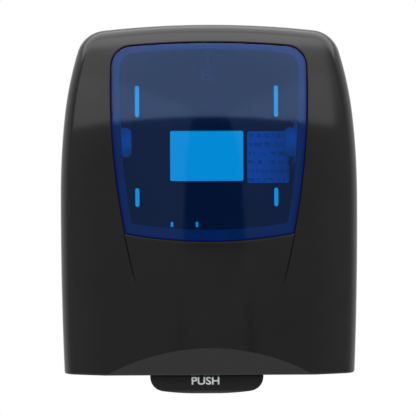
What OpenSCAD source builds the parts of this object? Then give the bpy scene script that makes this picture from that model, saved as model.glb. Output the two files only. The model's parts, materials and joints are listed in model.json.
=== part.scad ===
// Push-lever roll towel dispenser: a bulged cover with a tinted window, hinged at the foot of
// a wall plate; two sprung arms that hold the roll; and a push lever that turns the feed
// roller through a sector gear and a one-way clutch.
// Millimetres. Origin: centre of the wall-slot pattern on the wall face. +Z is up and the
// front faces -Y. A depth is a distance in front of the wall, so depth d lies at y = -d.

/* [Cover] */
// Width of the cover across its shoulders
cover_w = 328; // [322:1:340]
// Height of the cover's crown above the slot pattern
crown_z = 129; // [127:1:134]
// Height of the cover's bottom edge, below the slot pattern
base_z = -255; // [-262:1:-252]
// Depth of the front where it is fullest
front_d = 232; // [229:1:242]
// Wall of the cover
cover_wall = 3; // [2.5:0.1:3.4]
// Radius of the front seen from above
bulge_r = 396; // [385:1:430]
// Height above which the front leans back
lean_z = -20; // [-30:1:-10]
// Radius of the part that leans back
lean_r = 400; // [385:1:440]
// Height below which the front tucks in
tuck_z = -130; // [-140:1:-120]
// Radius of the part that tucks in
tuck_r = 2000; // [1700:50:2600]
// Radius of the shoulder between the front and the walls
shoulder_r = 11; // [9:0.5:12]
// How much wider the walls are at the rear edge, each side
draft = 2; // [1:0.25:3]
// Depth of the cover's rear edge
rear_edge_d = 20; // [18:0.5:24]
// Height where the cover is widest
wide_z = -64; // [-70:1:-58]
// Radius of the sides below the widest height
low_side_r = 5250; // [4500:50:6500]
// Radius of the sides just above the widest height
up_side_r = 900; // [850:10:1000]
// Height where the sides turn inwards more
turn_z = 30; // [24:1:36]
// Radius of the sides above that
turn_r = 420; // [400:5:450]
// Radius of the two top corners
corner_r = 32; // [26:1:36]
// Radius of the crown
crown_r = 1570; // [1300:10:1800]
// Height of the scoop's top above the bottom edge
scoop_h = 31.4; // [27:0.2:37]
// Fall of the scoop, depth over height
scoop_slope = 0.58; // [0.5:0.01:0.64]

/* [Window] */
// Width of the window at its widest
win_w = 216; // [206:1:222]
// Height of the window's top edge
win_top_z = 108.4; // [104:0.2:110]
// Height of the window's bottom edge at its middle
win_base_z = -109.6; // [-116:0.2:-100]
// Height where the window is widest
win_wide_z = 60; // [50:1:70]
// Radius of the window's sides
win_side_r = 833; // [750:1:950]
// Radius of the window's top edge
win_top_r = 1350; // [1200:10:1700]
// Radius of the window's bottom edge
win_base_r = 514; // [470:1:600]
// Radius of the window's top corners
win_corner_r = 23; // [17:0.5:25]
// Radius of the window's bottom corners
win_foot_r = 1.6; // [1.4:0.1:3]
// Thickness of the window
win_t = 3; // [2.4:0.1:3.2]
// Thickness of the bonding tape under the window
tape_t = 0.8; // [0.5:0.1:1.2]
// Gap round the window
win_gap = 1.2; // [0.8:0.1:1.4]
// Width of the ledge that the window lies on, along the sides
ledge_w = 10.4; // [8:0.2:12]
// Width of that ledge along the top
ledge_top_w = 8.6; // [7:0.2:11]
// Width of that ledge along the bottom
ledge_base_w = 14; // [10:0.5:15]
// Thickness of the ledge
ledge_t = 2.2; // [1.8:0.1:2.6]
// Length of the moulded crease below each bottom corner
crease_len = 48; // [36:1:54]

/* [Wall plate] */
// Thickness of the wall plate
plate_t = 3; // [2.5:0.1:4]
// Thickness of the plate's rim
rim_t = 3; // [2.5:0.1:3.5]
// Distance between the slots, side to side
slot_dx = 172; // [160:1:176]
// Distance between the slot centres, top to bottom
slot_dz = 118.7; // [112:0.1:124]
// Width of the wall slots
slot_w = 5.2; // [4.6:0.1:6.2]
// Length of the upper slots
slot_up_len = 39; // [32:0.5:44]
// Length of the lower slots
slot_low_len = 23; // [18:0.5:30]
// Width of the opening in the plate
port_w = 90.5; // [80:0.5:100]
// Height of the opening in the plate
port_h = 62; // [54:0.5:68]
// Height of the opening's middle
port_z = -8.4; // [-12:0.2:-4]

/* [Roll] */
// Width of the towel roll that fits
roll_w = 203; // [200:0.5:206]
// Diameter of the roll's hubs
hub_d = 35; // [32:0.5:38]
// How far a hub reaches into the roll
hub_reach = 12.5; // [11:0.5:16]
// Depth of the roll's axis
roll_d = 112; // [108:1:114]
// Height of the roll's axis
roll_z = 3; // [0:0.5:5]
// Diameter of a hub's axle
hub_axle_d = 8; // [7:0.5:9]

/* [Feed] */
// Diameter of the feed roller over its grips
feed_d = 40; // [36:0.5:42]
// Diameter of the feed roller's core
core_d = 30; // [26:0.5:32]
// Diameter of the feed and lever shafts
shaft_d = 8; // [7:0.5:9]
// Number of rubber grips on the feed roller
grip_count = 5; // [3:1:5]
// Width of one grip
grip_w = 26; // [20:1:28]
// Diameter of the pinch roller
pinch_d = 16; // [14:0.5:17]
// Gap between the feed and pinch rollers
nip_gap = 0.4; // [0.3:0.05:0.6]
// Diameter of the pinch roller's axle
pinch_axle_d = 5; // [4:0.5:6]
// Diameter of the hand knob
knob_d = 38; // [34:1:42]
// Thickness of the side frames
frame_t = 4; // [3:0.5:5]
// Width of the paper exit
exit_gap = 12.3; // [10:0.1:14]
// Pitch of the tear bar's teeth
tear_pitch = 4; // [3:0.5:6]

/* [Lever] */
// Width of the push lever's paddle
paddle_w = 124; // [116:1:132]
// How far the paddle sits left of the middle
paddle_off = 3.4; // [0:0.2:5]
// How far the paddle hangs below the cover
paddle_drop = 22.8; // [18:0.2:24]
// Wall of the paddle
paddle_t = 4; // [3:0.5:5]
// Corner radius of the paddle
paddle_r = 17; // [10:0.5:20]
// Bow radius of the paddle's bottom edge
paddle_bow_r = 310; // [280:10:600]
// Distance of the paddle's face behind the fullest front
paddle_setback = 30; // [28:0.5:34]
// Height of the lever's pivot above the cover's bottom edge
pivot_up = 55; // [52:0.5:58]
// Distance of the lever's pivot behind the paddle's face
pivot_back = 37; // [35:0.5:40]

/* [Gears] */
// Module of the gears
gear_m = 1.5; // [1.4:0.05:1.55]
// Teeth of the sector's full circle
sector_n = 80; // [76:1:82]
// Teeth of the pinion
pinion_n = 14; // [13:1:16]
// Width of the gear teeth
gear_w = 7; // [5:0.5:8]
// Angle of the line from the lever's pivot up to the feed shaft
mesh_a = 22; // [20:0.5:24]

/* [Clearances] */
// Radial clearance of turning fits
run_gap = 0.05; // [0.03:0.01:0.08]
// Clearance beside turning pieces
side_gap = 0.5; // [0.4:0.05:0.8]
// Clearance between fixed pieces
seat_gap = 0.1; // [0.05:0.05:0.2]

/* [Hidden] */
$fn = 64;

// Finishes as the eye sees them
black_gloss = [0.13, 0.13, 0.14];
black_satin = [0.17, 0.17, 0.18];
blue_tint = [0.05, 0.25, 0.65, 0.55];
grey_acetal = [0.80, 0.80, 0.78];
pale_plastic = [0.90, 0.90, 0.88];
steel = [0.70, 0.71, 0.73];
zinc = [0.62, 0.62, 0.63];
rubber = [0.22, 0.22, 0.22];
vinyl = [0.88, 0.90, 0.92];

// Points along each stretch of the half outlines
n_base = 8;
n_foot = 2;
n_low = 5;
n_up = 4;
n_turn = 5;
n_corner = 4;
n_top = 6;
half_w = cover_w / 2;

// Cover hinge: its corner turns inside the rear edge and the bottom edge
hinge_r = 14;
hinge_d = rear_edge_d + hinge_r;
hinge_z = base_z + hinge_r;
hinge_pin_r = 3;
ear_r = 10;
ear_w = 11;

// Height of the scoop's top above the slot pattern
scoop_z = base_z + scoop_h;

// The parts of the shell that are cut away below the bottom edge
foot_z = base_z - 40;
foot_r = 34;
recess = win_t + tape_t;
ledge_foot_r = 6;

// Lever pivot, feed shaft, pinch roller and flap pivot as [depth, height]
paddle_d = front_d - paddle_setback;
paddle_low_z = base_z - paddle_drop;
pivot = [paddle_d - pivot_back, base_z + pivot_up];
mesh_r = gear_m * (sector_n + pinion_n) / 2;
feed = pivot + mesh_r * [-cos(mesh_a), sin(mesh_a)];
pinch = feed + [(feed_d + pinch_d) / 2 + nip_gap, 0];
flap_gap = 2.5;
flap_t = 2.5;
flap_d = pinch.x + pinch_d / 2 + flap_gap;
flap_pin_r = 3;
flap_pivot = [flap_d + flap_t / 2, base_z + 32];
flap_top_z = pinch.y + 24;

// Side frames stand outside the roll
frame_x = roll_w / 2 + 4.5;
frame_out_x = frame_x + frame_t;
bush_r = shaft_d / 2 + 3;
bush_rim_r = bush_r + 2.5;
bush_rim_t = 1.5;
frame_top_z = feed.y + 62;
frame_low_z = base_z + 11;
foot_w = 13;
foot_t = 3;
screw_r = 2;
screw_head_r = 3.6;
screw_head_h = 2.2;
screw_bite = 2;
frame_foot_z = [frame_low_z + 16, frame_top_z - 16];

// Paper chute and tear bar
chute_t = 2.5;
nip_d = feed.x + feed_d / 2;
chute_d = nip_d - 5;
chute_floor_z = base_z + 9;
chute_top_z = feed.y - feed_d / 2 - 4;
tear_t = 1.2;
tear_d = chute_d + exit_gap;
tear_low_z = base_z + 5;
tear_h = 17;
tear_tooth = 2.4;
rail_depth = 12;
rail_h = 13;
rail_low_z = tear_low_z + tear_tooth + 1;
bar_x = frame_x - seat_gap;

// Gear plane and shafts
gear_hub_x = frame_out_x + bush_rim_t + side_gap;
gear_x = gear_hub_x + 1.5;
gear_hub_end = gear_x + gear_w + 4;
clutch_r = shaft_d / 2 + 2;
clip_t = 1;
clip_r = shaft_d / 2 + 3;
shaft_tail = 2;
pinion_end_x = gear_hub_end + side_gap;
check_w = 8;
check_x = frame_out_x + bush_rim_t;
knob_x = check_x + check_w + 3;
knob_clear = 14.5;
knob_w = cover_w / 2 - cover_wall - knob_clear - knob_x;
lever_barrel_r = shaft_d / 2 + 4;
lever_barrel_x = 80;

// Roll arms
hub_tip_x = roll_w / 2 - hub_reach;
hub_flange_x = roll_w / 2 - 0.5;
hub_flange_t = 2;
hub_flange_r = hub_d / 2 + 6;
arm_in_x = hub_flange_x + hub_flange_t + side_gap;
arm_t = 4.5;
arm_pin_r = 2;
arm_pin_out = 8;
arm_pin_d = 16;
arm_rib_inset = 6;
arm_rib_h = 3;
arm_rib_d = roll_d - 8;
arm_pin = [arm_in_x + arm_pin_out, arm_pin_d];
arm_barrel_r = 6;
arm_boss_r = hub_d / 2 + 4;
arm_low_z = roll_z - 28;
arm_high_z = roll_z + 17;
lug_t = 6;
lug_gap = 0.3;
arm_spring_h = 11;
lug_low_z = arm_low_z - lug_gap;
lug_high_z = arm_high_z + arm_spring_h + 2 * lug_gap;

// Lock at the top of the cover
lock_d = 64;
lock_r = 9.5;
lock_rim_r = 12;
lock_rim_t = 1.6;
plug_r = 6;
lock_wall_z = crown_z + draft;
lock_low_z = crown_z - 17;
cam_t = 2.5;
cam_z = lock_low_z - cam_t - side_gap;
cam_in_r = 17;
cam_out_r = 22;
keeper_pin_r = 2.5;
cam_slack = 1.5;
keeper_back = cam_in_r - keeper_pin_r - cam_slack;
keeper_z = cam_z - 8;
keeper_t = 2.5;
keeper_w = 16;
keeper_flange_h = 16;
keeper_screw_z = keeper_z - keeper_flange_h / 2 - 2;

function mix(a, b, t) = a + (b - a) * t;
function heading(v) = atan2(v.y, v.x);
function at_angle(a) = [cos(a), sin(a)];

// Points of an arc from a0 up to, but without, a1
function arc(c, r, a0, a1, n) = [for (i = [0:n - 1]) c + r * at_angle(mix(a0, a1, i / n))];

// Where two circles meet, on the right of the line from the first to the second
function meet(c1, r1, c2, r2) =
    let (gap = norm(c2 - c1), u = (c2 - c1) / gap,
         along = (r1 * r1 - r2 * r2 + gap * gap) / (2 * gap),
         across = sqrt(r1 * r1 - along * along))
    c1 + along * u + across * [u.y, -u.x];

// A closed outline from its right half, which runs from the bottom middle to the top middle
function both_sides(half) = concat(half, [for (i = [len(half) - 2:-1:1]) [-half[i].x, half[i].y]]);

low_c = [half_w - low_side_r, wide_z];
up_c = [half_w - up_side_r, wide_z];
up_a = asin((turn_z - wide_z) / up_side_r);
turn_c = up_c + (up_side_r - turn_r) * at_angle(up_a);
crown_c = [0, crown_z - crown_r];
corner_c = meet(crown_c, crown_r - corner_r, turn_c, turn_r - corner_r);
corner_a0 = heading(corner_c - turn_c);
corner_a1 = heading(corner_c - crown_c);

// Outline of the cover, o outside its shoulder line, with a flat foot at zb
function cover_loop(o, zb, rf) =
    let (fz = zb + rf,
         fx = low_c.x + sqrt(pow(low_side_r - rf, 2) - pow(fz - wide_z, 2)),
         fa = heading([fx, fz] - low_c))
    both_sides(concat(
        [for (i = [0:n_base - 1]) [fx * i / n_base, zb - o]],
        arc([fx, fz], rf + o, -90, fa, n_foot),
        arc(low_c, low_side_r + o, fa, 0, n_low),
        arc(up_c, up_side_r + o, 0, up_a, n_up),
        arc(turn_c, turn_r + o, up_a, corner_a0, n_turn),
        arc(corner_c, corner_r + o, corner_a0, corner_a1, n_corner),
        arc(crown_c, crown_r + o, corner_a1, 90, n_top),
        [[0, crown_z + o]]));

// Outline of a window of half width w, o outside that
function window_loop(w, top, base, rc, rf, o) =
    let (side_c = [w - win_side_r, win_wide_z],
         top_c = [0, top - win_top_r],
         base_c = [0, base + win_base_r],
         foot_c = meet(side_c, win_side_r - rf, base_c, win_base_r - rf),
         bend_c = meet(top_c, win_top_r - rc, side_c, win_side_r - rc),
         foot_a0 = heading(foot_c - base_c),
         foot_a1 = heading(foot_c - side_c),
         bend_a0 = heading(bend_c - side_c),
         bend_a1 = heading(bend_c - top_c))
    both_sides(concat(
        arc(base_c, win_base_r + o, -90, foot_a0, n_base),
        arc(foot_c, rf + o, foot_a0, foot_a1, n_foot),
        arc(side_c, win_side_r + o, foot_a1, bend_a0, n_low + n_up + n_turn),
        arc(bend_c, rc + o, bend_a0, bend_a1, n_corner),
        arc(top_c, win_top_r + o, bend_a1, 90, n_top),
        [[0, top + o]]));

function opening_loop(o) =
    window_loop(win_w / 2, win_top_z, win_base_z, win_corner_r, win_foot_r, o);
aperture_loop = window_loop(win_w / 2 - ledge_w, win_top_z - ledge_top_w, win_base_z + ledge_base_w,
    win_corner_r - ledge_w / 2, ledge_foot_r, 0);

// Depth of the front at p = [x, height], without and with the scoop
function lean(z) =
    z > lean_z ? pow(z - lean_z, 2) / (2 * lean_r) :
    z < tuck_z ? pow(tuck_z - z, 2) / (2 * tuck_r) : 0;
function full_front(p) = front_d - p.x * p.x / (2 * bulge_r) - lean(p.y);
scoop_d = full_front([0, scoop_z]);
function front_at(p) = min(full_front(p), scoop_d - scoop_slope * (scoop_z - p.y));

// Height of the scoop's upper edge at x, where its flat meets the tucked front
scoop_bite = scoop_slope - (tuck_z - scoop_z) / tuck_r;
function scoop_edge(x) =
    scoop_z - tuck_r * (scoop_bite - sqrt(scoop_bite * scoop_bite - x * x / (bulge_r * tuck_r)));

// A loop laid on the front, sunk behind it, and a loop at one depth
function on_front(loop, sunk) = [for (p = loop) [p.x, sunk - front_at(p), p.y]];
function at_depth(loop, d) = [for (p = loop) [p.x, -d, p.y]];
function mix_loops(a, b, t) = [for (i = [0:len(a) - 1]) mix(a[i], b[i], t)];

// A solid whose skin runs through rows of points and closes on itself
function row_faces(rows, n) = [
    for (k = [0:rows - 1], i = [0:n - 1])
        let (a = k * n + i, b = k * n + (i + 1) % n,
             c = ((k + 1) % rows) * n + (i + 1) % n, d = ((k + 1) % rows) * n + i)
        each [[a, c, b], [a, d, c]]];
module ring_solid(rows) {
    polyhedron([for (row = rows) each row], row_faces(len(rows), len(rows[0])), convexity = 8);
}

// A solid whose skin runs through rows of points from one end point to another
module capped_solid(first, rows, last) {
    n = len(rows[0]);
    count = len(rows) * n;
    sides = [
        for (k = [0:len(rows) - 2], i = [0:n - 1])
            let (a = k * n + i, b = k * n + (i + 1) % n, c = b + n, d = a + n)
            each [[a, c, b], [a, d, c]]];
    ends = [
        for (i = [0:n - 1])
            let (j = (i + 1) % n)
            each [[count, i, j], [count - n + i, count + 1, count - n + j]]];
    polyhedron(concat([for (row = rows) each row], [first, last]), concat(sides, ends),
        convexity = 6);
}

// Stand an outline of [-depth, height] on a plane of constant x, thickened towards +X
module across(x) {
    translate([x, 0, 0]) rotate([90, 0, 90]) children();
}

// Stand an outline of [x, height] at depth d, thickened towards the front
module facing(d) {
    translate([0, -d, 0]) rotate([90, 0, 0]) children();
}

// A round bar along X at p = [depth, height]
module bar(x0, x1, p, r) {
    translate([x0, -p.x, p.y]) rotate([0, 90, 0]) cylinder(h = x1 - x0, r = r);
}

// A ring along X
module sleeve(x0, x1, p, r_out, r_in) {
    difference() {
        bar(x0, x1, p, r_out);
        bar(x0 - 1, x1 + 1, p, r_in);
    }
}

module on_both_sides() {
    children();
    mirror([1, 0, 0]) children();
}

module rounded(r) {
    offset(r = r, $fn = 24) offset(delta = -r) children();
}

// An upright slot in the plate: two round ends and a straight middle
module upright_slot(x, z, w, len, h) {
    facing(-1) linear_extrude(h + 2) translate([x, z]) square([w, len - w], center = true);
    for (end = [-1, 1]) translate([x, 1, z + end * (len - w) / 2])
        rotate([90, 0, 0]) cylinder(h = h + 2, r = w / 2);
}

// A coil spring of round wire about the axis through origin along X, with two straight legs
function coil_path(r, pitch, turns, leg) =
    let (last = 360 * turns)
    concat(
        [[0, r, -leg]],
        [for (i = [0:8 * turns]) let (a = 45 * i) [pitch * i / 8, r * cos(a), r * sin(a)]],
        [[pitch * turns, r * cos(last), r * sin(last)] + leg * [0, -sin(last), cos(last)]]);
function coil_out(i, turns) =
    let (a = 45 * max(0, min(8 * turns, i - 1))) [0, cos(a), sin(a)];
function coil_rings(path, turns, wire_r) = [
    for (i = [0:len(path) - 1])
        let (fore = path[min(i + 1, len(path) - 1)], aft = path[max(i - 1, 0)],
             t = (fore - aft) / norm(fore - aft), u = coil_out(i, turns),
             v = cross(t, u) / norm(cross(t, u)), w = cross(v, t))
        [for (k = [0:5]) path[i] + wire_r * (cos(60 * k) * w + sin(60 * k) * v)]];
function coil_self_gap(path, wire_r) =
    min([for (i = [0:len(path) - 1], j = [i + 5:1:len(path) - 1]) norm(path[i] - path[j])])
    - 2 * wire_r;
module coil(name, r, pitch, turns, leg, wire_r) {
    path = coil_path(r, pitch, turns, leg);
    rings = coil_rings(path, turns, wire_r);
    echo(str(name, " gap between turns: ", coil_self_gap(path, wire_r)));
    capped_solid(path[0], rings, path[len(path) - 1]);
}

// Half of a tooth's angle at radius r, on an involute with the gear's pressure angle
press_a = 25;
function involute(a) = tan(a) * 180 / PI - a;
function tooth_half(n, r, slack) =
    let (pitch_r = gear_m * n / 2, base_r = pitch_r * cos(press_a))
    90 / n - slack * 90 / (PI * pitch_r) + involute(press_a)
    - involute(acos(min(1, base_r / r)));

// Outline points of one tooth pointing at angle a, from its right root to its left root
tooth_slack = 0.16;
function tooth(n, a) =
    let (pitch_r = gear_m * n / 2, tip_r = pitch_r + gear_m, root_r = pitch_r - 1.25 * gear_m,
         flank_r = max(root_r, pitch_r * cos(press_a)),
         radii = [for (i = [0:4]) mix(flank_r, tip_r, i / 4)],
         foot_a = tooth_half(n, flank_r, tooth_slack),
         has_foot = flank_r > root_r)
    concat(
        has_foot ? [root_r * at_angle(a - foot_a)] : [],
        [for (r = radii) r * at_angle(a - tooth_half(n, r, tooth_slack))],
        [for (i = [4:-1:0]) radii[i] * at_angle(a + tooth_half(n, radii[i], tooth_slack))],
        has_foot ? [root_r * at_angle(a + foot_a)] : []);

// Wall plate

// The plate's opening and its two small tab holes
tab_x = [-43.3, -12.3];
tab_z = -93;
tab_size = [3, 6];
port_r = 2;

module plate_cuts() {
    for (sx = [-1, 1]) {
        upright_slot(sx * slot_dx / 2, slot_dz / 2, slot_w, slot_up_len, plate_t);
        upright_slot(sx * slot_dx / 2, -slot_dz / 2, slot_w, slot_low_len, plate_t);
    }
    facing(-1) linear_extrude(plate_t + 2) {
        translate([0, port_z]) rounded(port_r) square([port_w, port_h], center = true);
        for (x = tab_x) translate([x, tab_z]) square(tab_size, center = true);
    }
    for (x = [-1, 1], z = frame_foot_z)
        translate([x * (frame_out_x + foot_w / 2), -plate_t + screw_bite, z])
            rotate([90, 0, 0]) cylinder(h = screw_bite + 1, r = screw_r);
    for (x = [-1, 1]) translate([x * keeper_w / 4, -plate_t + screw_bite, keeper_screw_z])
        rotate([90, 0, 0]) cylinder(h = screw_bite + 1, r = screw_r);
}

rim_d = rear_edge_d - 0.6;
rim_foot_r = 12;
lip_t = 2;
lip_d = rear_edge_d + 7;
lip_inset = cover_wall + 1;
lip_low_z = hinge_z + ear_r + 8;
rib_t = 2.4;
rib_d = plate_t + 6;
lug_w = 7;
lug_x = half_w - 25;

module plate_outline(inset) {
    polygon(cover_loop(draft - inset, base_z, rim_foot_r));
}

// The rim that the cover closes on, and the lip that keeps it in line
module plate_rim() {
    facing(0) linear_extrude(rim_d) difference() {
        plate_outline(0);
        plate_outline(rim_t);
    }
    facing(plate_t) linear_extrude(lip_d - plate_t) intersection() {
        difference() {
            plate_outline(lip_inset);
            plate_outline(lip_inset + lip_t);
        }
        translate([-half_w * 2, lip_low_z]) square([half_w * 4, crown_z * 2 - lip_low_z]);
    }
}

// Stiffening ribs round the opening and down the plate
module plate_ribs() {
    facing(plate_t) linear_extrude(rib_d - plate_t) {
        translate([0, port_z]) difference() {
            rounded(port_r + rib_t) square([port_w + 2 * rib_t, port_h + 2 * rib_t], center = true);
            rounded(port_r) square([port_w, port_h], center = true);
        }
        for (x = [-1, 1]) translate([x * (port_w / 2 + rib_t / 2) - rib_t / 2, port_z + port_h / 2 + rib_t])
            square([rib_t, keeper_z - keeper_flange_h - port_z - port_h / 2 - 10]);
    }
}

// Ears on the plate that carry the cover's hinge pins
module hinge_lugs() {
    on_both_sides() difference() {
        across(lug_x) linear_extrude(lug_w) union() {
            translate([-hinge_d, hinge_z]) circle(r = ear_r);
            translate([-hinge_d, hinge_z - ear_r]) square([hinge_d - plate_t, 2 * ear_r]);
        }
        bar(lug_x - 1, lug_x + lug_w + 1, [hinge_d, hinge_z], hinge_pin_r + run_gap);
    }
}

// Ears on the plate that carry the pins of the roll arms
module arm_lugs() {
    on_both_sides() for (z = [lug_low_z - lug_t, lug_high_z]) difference() {
        translate([arm_pin.x - arm_barrel_r, -arm_pin.y, z])
            cube([2 * arm_barrel_r, arm_pin.y - plate_t, lug_t]);
        translate([arm_pin.x, -arm_pin.y, z - 1]) cylinder(h = lug_t + 2, r = arm_pin_r);
    }
    on_both_sides() for (z = [lug_low_z - lug_t, lug_high_z]) difference() {
        translate([arm_pin.x, -arm_pin.y, z]) intersection() {
            cylinder(h = lug_t, r = arm_barrel_r);
            translate([-arm_barrel_r, -arm_barrel_r, 0]) cube([2 * arm_barrel_r, arm_barrel_r, lug_t]);
        }
        translate([arm_pin.x, -arm_pin.y, z - 1]) cylinder(h = lug_t + 2, r = arm_pin_r);
    }
}

module wall_plate() {
    color(black_satin) {
        difference() {
            union() {
                facing(0) linear_extrude(plate_t) plate_outline(rim_t / 2);
                plate_rim();
                plate_ribs();
                hinge_lugs();
                arm_lugs();
            }
            plate_cuts();
        }
    }
}

// Side frames of the feed unit

frame_round = 6;
function frame_outline() = [
    [-plate_t, frame_low_z], [-tear_d - rail_depth - 8, frame_low_z],
    [-pivot.x - 14, pivot.y - 18], [-pivot.x - 14, pivot.y + 12],
    [-feed.x - 34, feed.y + 30], [-feed.x + 30, frame_top_z], [-plate_t, frame_top_z]];

module side_frame() {
    difference() {
        union() {
            across(frame_x) linear_extrude(frame_t) union() {
                rounded(frame_round) polygon(frame_outline());
                translate([-plate_t - frame_round * 2, frame_low_z])
                    square([frame_round * 2, frame_top_z - frame_low_z]);
            }
            for (z = frame_foot_z) translate([frame_out_x, -plate_t - foot_t, z - foot_w / 2])
                cube([foot_w, foot_t, foot_w]);
        }
        bar(frame_x - 1, frame_out_x + 1, feed, bush_r);
        bar(frame_x - 1, frame_out_x + 1, pivot, bush_r);
        bar(frame_x - 1, frame_out_x + 1, flap_pivot, flap_pin_r + run_gap);
        for (z = frame_foot_z) translate([frame_out_x + foot_w / 2, -plate_t + 1, z])
            rotate([90, 0, 0]) cylinder(h = foot_t + 2, r = screw_r);
    }
}

module side_frame_right() { color(black_satin) side_frame(); }
module side_frame_left() { color(black_satin) mirror([1, 0, 0]) side_frame(); }

// A pan-head screw along Y with its head's seat at depth d
module screw(x, d, z, len) {
    translate([x, -d, z]) rotate([90, 0, 0]) cylinder(h = screw_head_h, r = screw_head_r);
    translate([x, -d + len, z]) rotate([90, 0, 0]) cylinder(h = len, r = screw_r);
}

module frame_screws() {
    color(steel) for (x = [-1, 1], z = frame_foot_z)
        screw(x * (frame_out_x + foot_w / 2), plate_t + foot_t, z, foot_t + screw_bite);
}

// Bushes of the two shafts, with their rims outside the frames
module bush(p) {
    on_both_sides() {
        sleeve(frame_x, frame_out_x, p, bush_r, shaft_d / 2 + run_gap);
        sleeve(frame_out_x, frame_out_x + bush_rim_t, p, bush_rim_r, shaft_d / 2 + run_gap);
    }
}
module feed_bushes() { color(grey_acetal) bush(feed); }
module lever_bushes() { color(grey_acetal) bush(pivot); }

module back_check_bearing() {
    color(zinc) mirror([1, 0, 0])
        sleeve(check_x, check_x + check_w, feed, bush_rim_r, shaft_d / 2 + run_gap);
}

// Paper path

chute_bend = 10;
rib_pitch = 21;
rib_count = 9;

// The floor and the guide behind the paper, one bent sheet with ribs under it
module paper_chute() {
    color(black_satin) {
        across(-bar_x) linear_extrude(2 * bar_x) {
            difference() {
                translate([-chute_d, chute_floor_z]) square([chute_d - plate_t, chute_top_z - chute_floor_z]);
                difference() {
                    translate([-chute_d + chute_t, chute_floor_z + chute_t])
                        square([chute_d, chute_top_z - chute_floor_z]);
                    difference() {
                        translate([-chute_d + chute_t, chute_floor_z + chute_t])
                            square([chute_bend, chute_bend]);
                        translate([-chute_d + chute_t + chute_bend, chute_floor_z + chute_t + chute_bend])
                            circle(r = chute_bend);
                    }
                }
            }
        }
        for (i = [-(rib_count - 1) / 2:(rib_count - 1) / 2]) across(i * rib_pitch - rib_t / 2)
            linear_extrude(rib_t) polygon([
                [-chute_d + chute_t - 0.5, chute_floor_z + chute_t - 0.5],
                [-chute_d / 2, chute_floor_z + chute_t - 0.5],
                [-chute_d + chute_t - 0.5, chute_top_z - 2]]);
    }
}

// Rail across the exit, in front of the paper
module tear_rail() {
    color(black_satin) difference() {
        across(-bar_x) linear_extrude(2 * bar_x) polygon([
            [-tear_d - tear_t, rail_low_z], [-tear_d - tear_t, rail_low_z + rail_h],
            [-tear_d - tear_t - rail_depth / 2, rail_low_z + rail_h],
            [-tear_d - tear_t - rail_depth, rail_low_z + rail_h / 2],
            [-tear_d - tear_t - rail_depth, rail_low_z]]);
        for (x = tear_screw_x) translate([x, -tear_d, tear_screw_z])
            rotate([90, 0, 0]) cylinder(h = tear_screw_len, r = screw_r);
    }
}

tear_screw_x = [-bar_x + 22, 0, bar_x - 22];
tear_screw_z = rail_low_z + rail_h / 2;
tear_screw_len = 7;
tear_head_r = 3;
tear_head_h = 1.2;
tear_half = bar_x - 2;
tear_count = floor(2 * tear_half / tear_pitch);

// Serrated steel strip screwed to the back of the rail
module tear_bar() {
    color(steel) difference() {
        facing(tear_d) linear_extrude(tear_t) polygon(concat(
            [[-tear_half, tear_low_z + tear_h], [-tear_half, tear_low_z + tear_tooth]],
            [for (i = [0:tear_count - 1]) each
                let (x = -tear_count * tear_pitch / 2 + i * tear_pitch)
                [[x + 0.1, tear_low_z + tear_tooth], [x + tear_pitch / 2, tear_low_z]]],
            [[tear_half, tear_low_z + tear_tooth], [tear_half, tear_low_z + tear_h]]));
        for (x = tear_screw_x) translate([x, -tear_d + 1, tear_screw_z])
            rotate([90, 0, 0]) cylinder(h = tear_t + 2, r = screw_r);
    }
}

module tear_bar_screws() {
    color(steel) for (x = tear_screw_x) translate([x, -tear_d, tear_screw_z]) {
        rotate([-90, 0, 0]) cylinder(h = tear_head_h, r = tear_head_r);
        rotate([90, 0, 0]) cylinder(h = tear_screw_len, r = screw_r);
    }
}

// Roll arms and hubs

module arm_pins() {
    color(steel) on_both_sides() translate([arm_pin.x, -arm_pin.y, lug_low_z - lug_t])
        cylinder(h = lug_high_z + lug_t - lug_low_z + lug_t, r = arm_pin_r);
}

// Arm on the right: a barrel on its pin, a ribbed blade and a boss for the hub's axle
module roll_arm() {
    difference() {
        union() {
            translate([arm_pin.x, -arm_pin.y, arm_low_z])
                cylinder(h = arm_high_z - arm_low_z, r = arm_barrel_r);
            across(arm_in_x) linear_extrude(arm_t) union() {
                polygon([
                    [-arm_pin.y, arm_low_z], [-roll_d, roll_z - arm_boss_r],
                    [-roll_d, roll_z + arm_boss_r], [-arm_pin.y, arm_high_z]]);
                translate([-roll_d, roll_z]) circle(r = arm_boss_r);
            }
            translate([arm_in_x, -arm_pin.y - arm_barrel_r / 2, arm_low_z])
                cube([arm_pin.x - arm_in_x, arm_barrel_r, arm_high_z - arm_low_z]);
            for (z = [arm_low_z + arm_rib_inset, arm_high_z - arm_rib_inset - rib_t])
                across(arm_in_x + arm_t - 0.5) linear_extrude(arm_rib_h + 0.5) translate([-arm_rib_d, z])
                    square([arm_rib_d - arm_pin.y, rib_t]);
        }
        translate([arm_pin.x, -arm_pin.y, arm_low_z - 1])
            cylinder(h = arm_high_z - arm_low_z + 2, r = arm_pin_r + run_gap);
        bar(arm_in_x - 1, arm_in_x + arm_t + arm_rib_h + 1, [roll_d, roll_z], hub_axle_d / 2);
    }
}
module roll_arm_right() { color(black_satin) roll_arm(); }
module roll_arm_left() { color(black_satin) mirror([1, 0, 0]) roll_arm(); }

arm_wire_r = 0.7;
arm_coil_pitch = 2.2;
arm_coil_turns = 4;
arm_leg = 11;
arm_coil_r = arm_pin_r + 0.5 + arm_wire_r;
module arm_spring() {
    translate([arm_pin.x, -arm_pin.y, arm_high_z + lug_gap + arm_wire_r + 0.3])
        rotate([0, 0, -90]) rotate([0, -90, 0])
            coil("arm spring", arm_coil_r, arm_coil_pitch, arm_coil_turns, arm_leg, arm_wire_r);
}
module arm_spring_right() { color(steel) arm_spring(); }
module arm_spring_left() { color(steel) mirror([1, 0, 0]) arm_spring(); }

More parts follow.
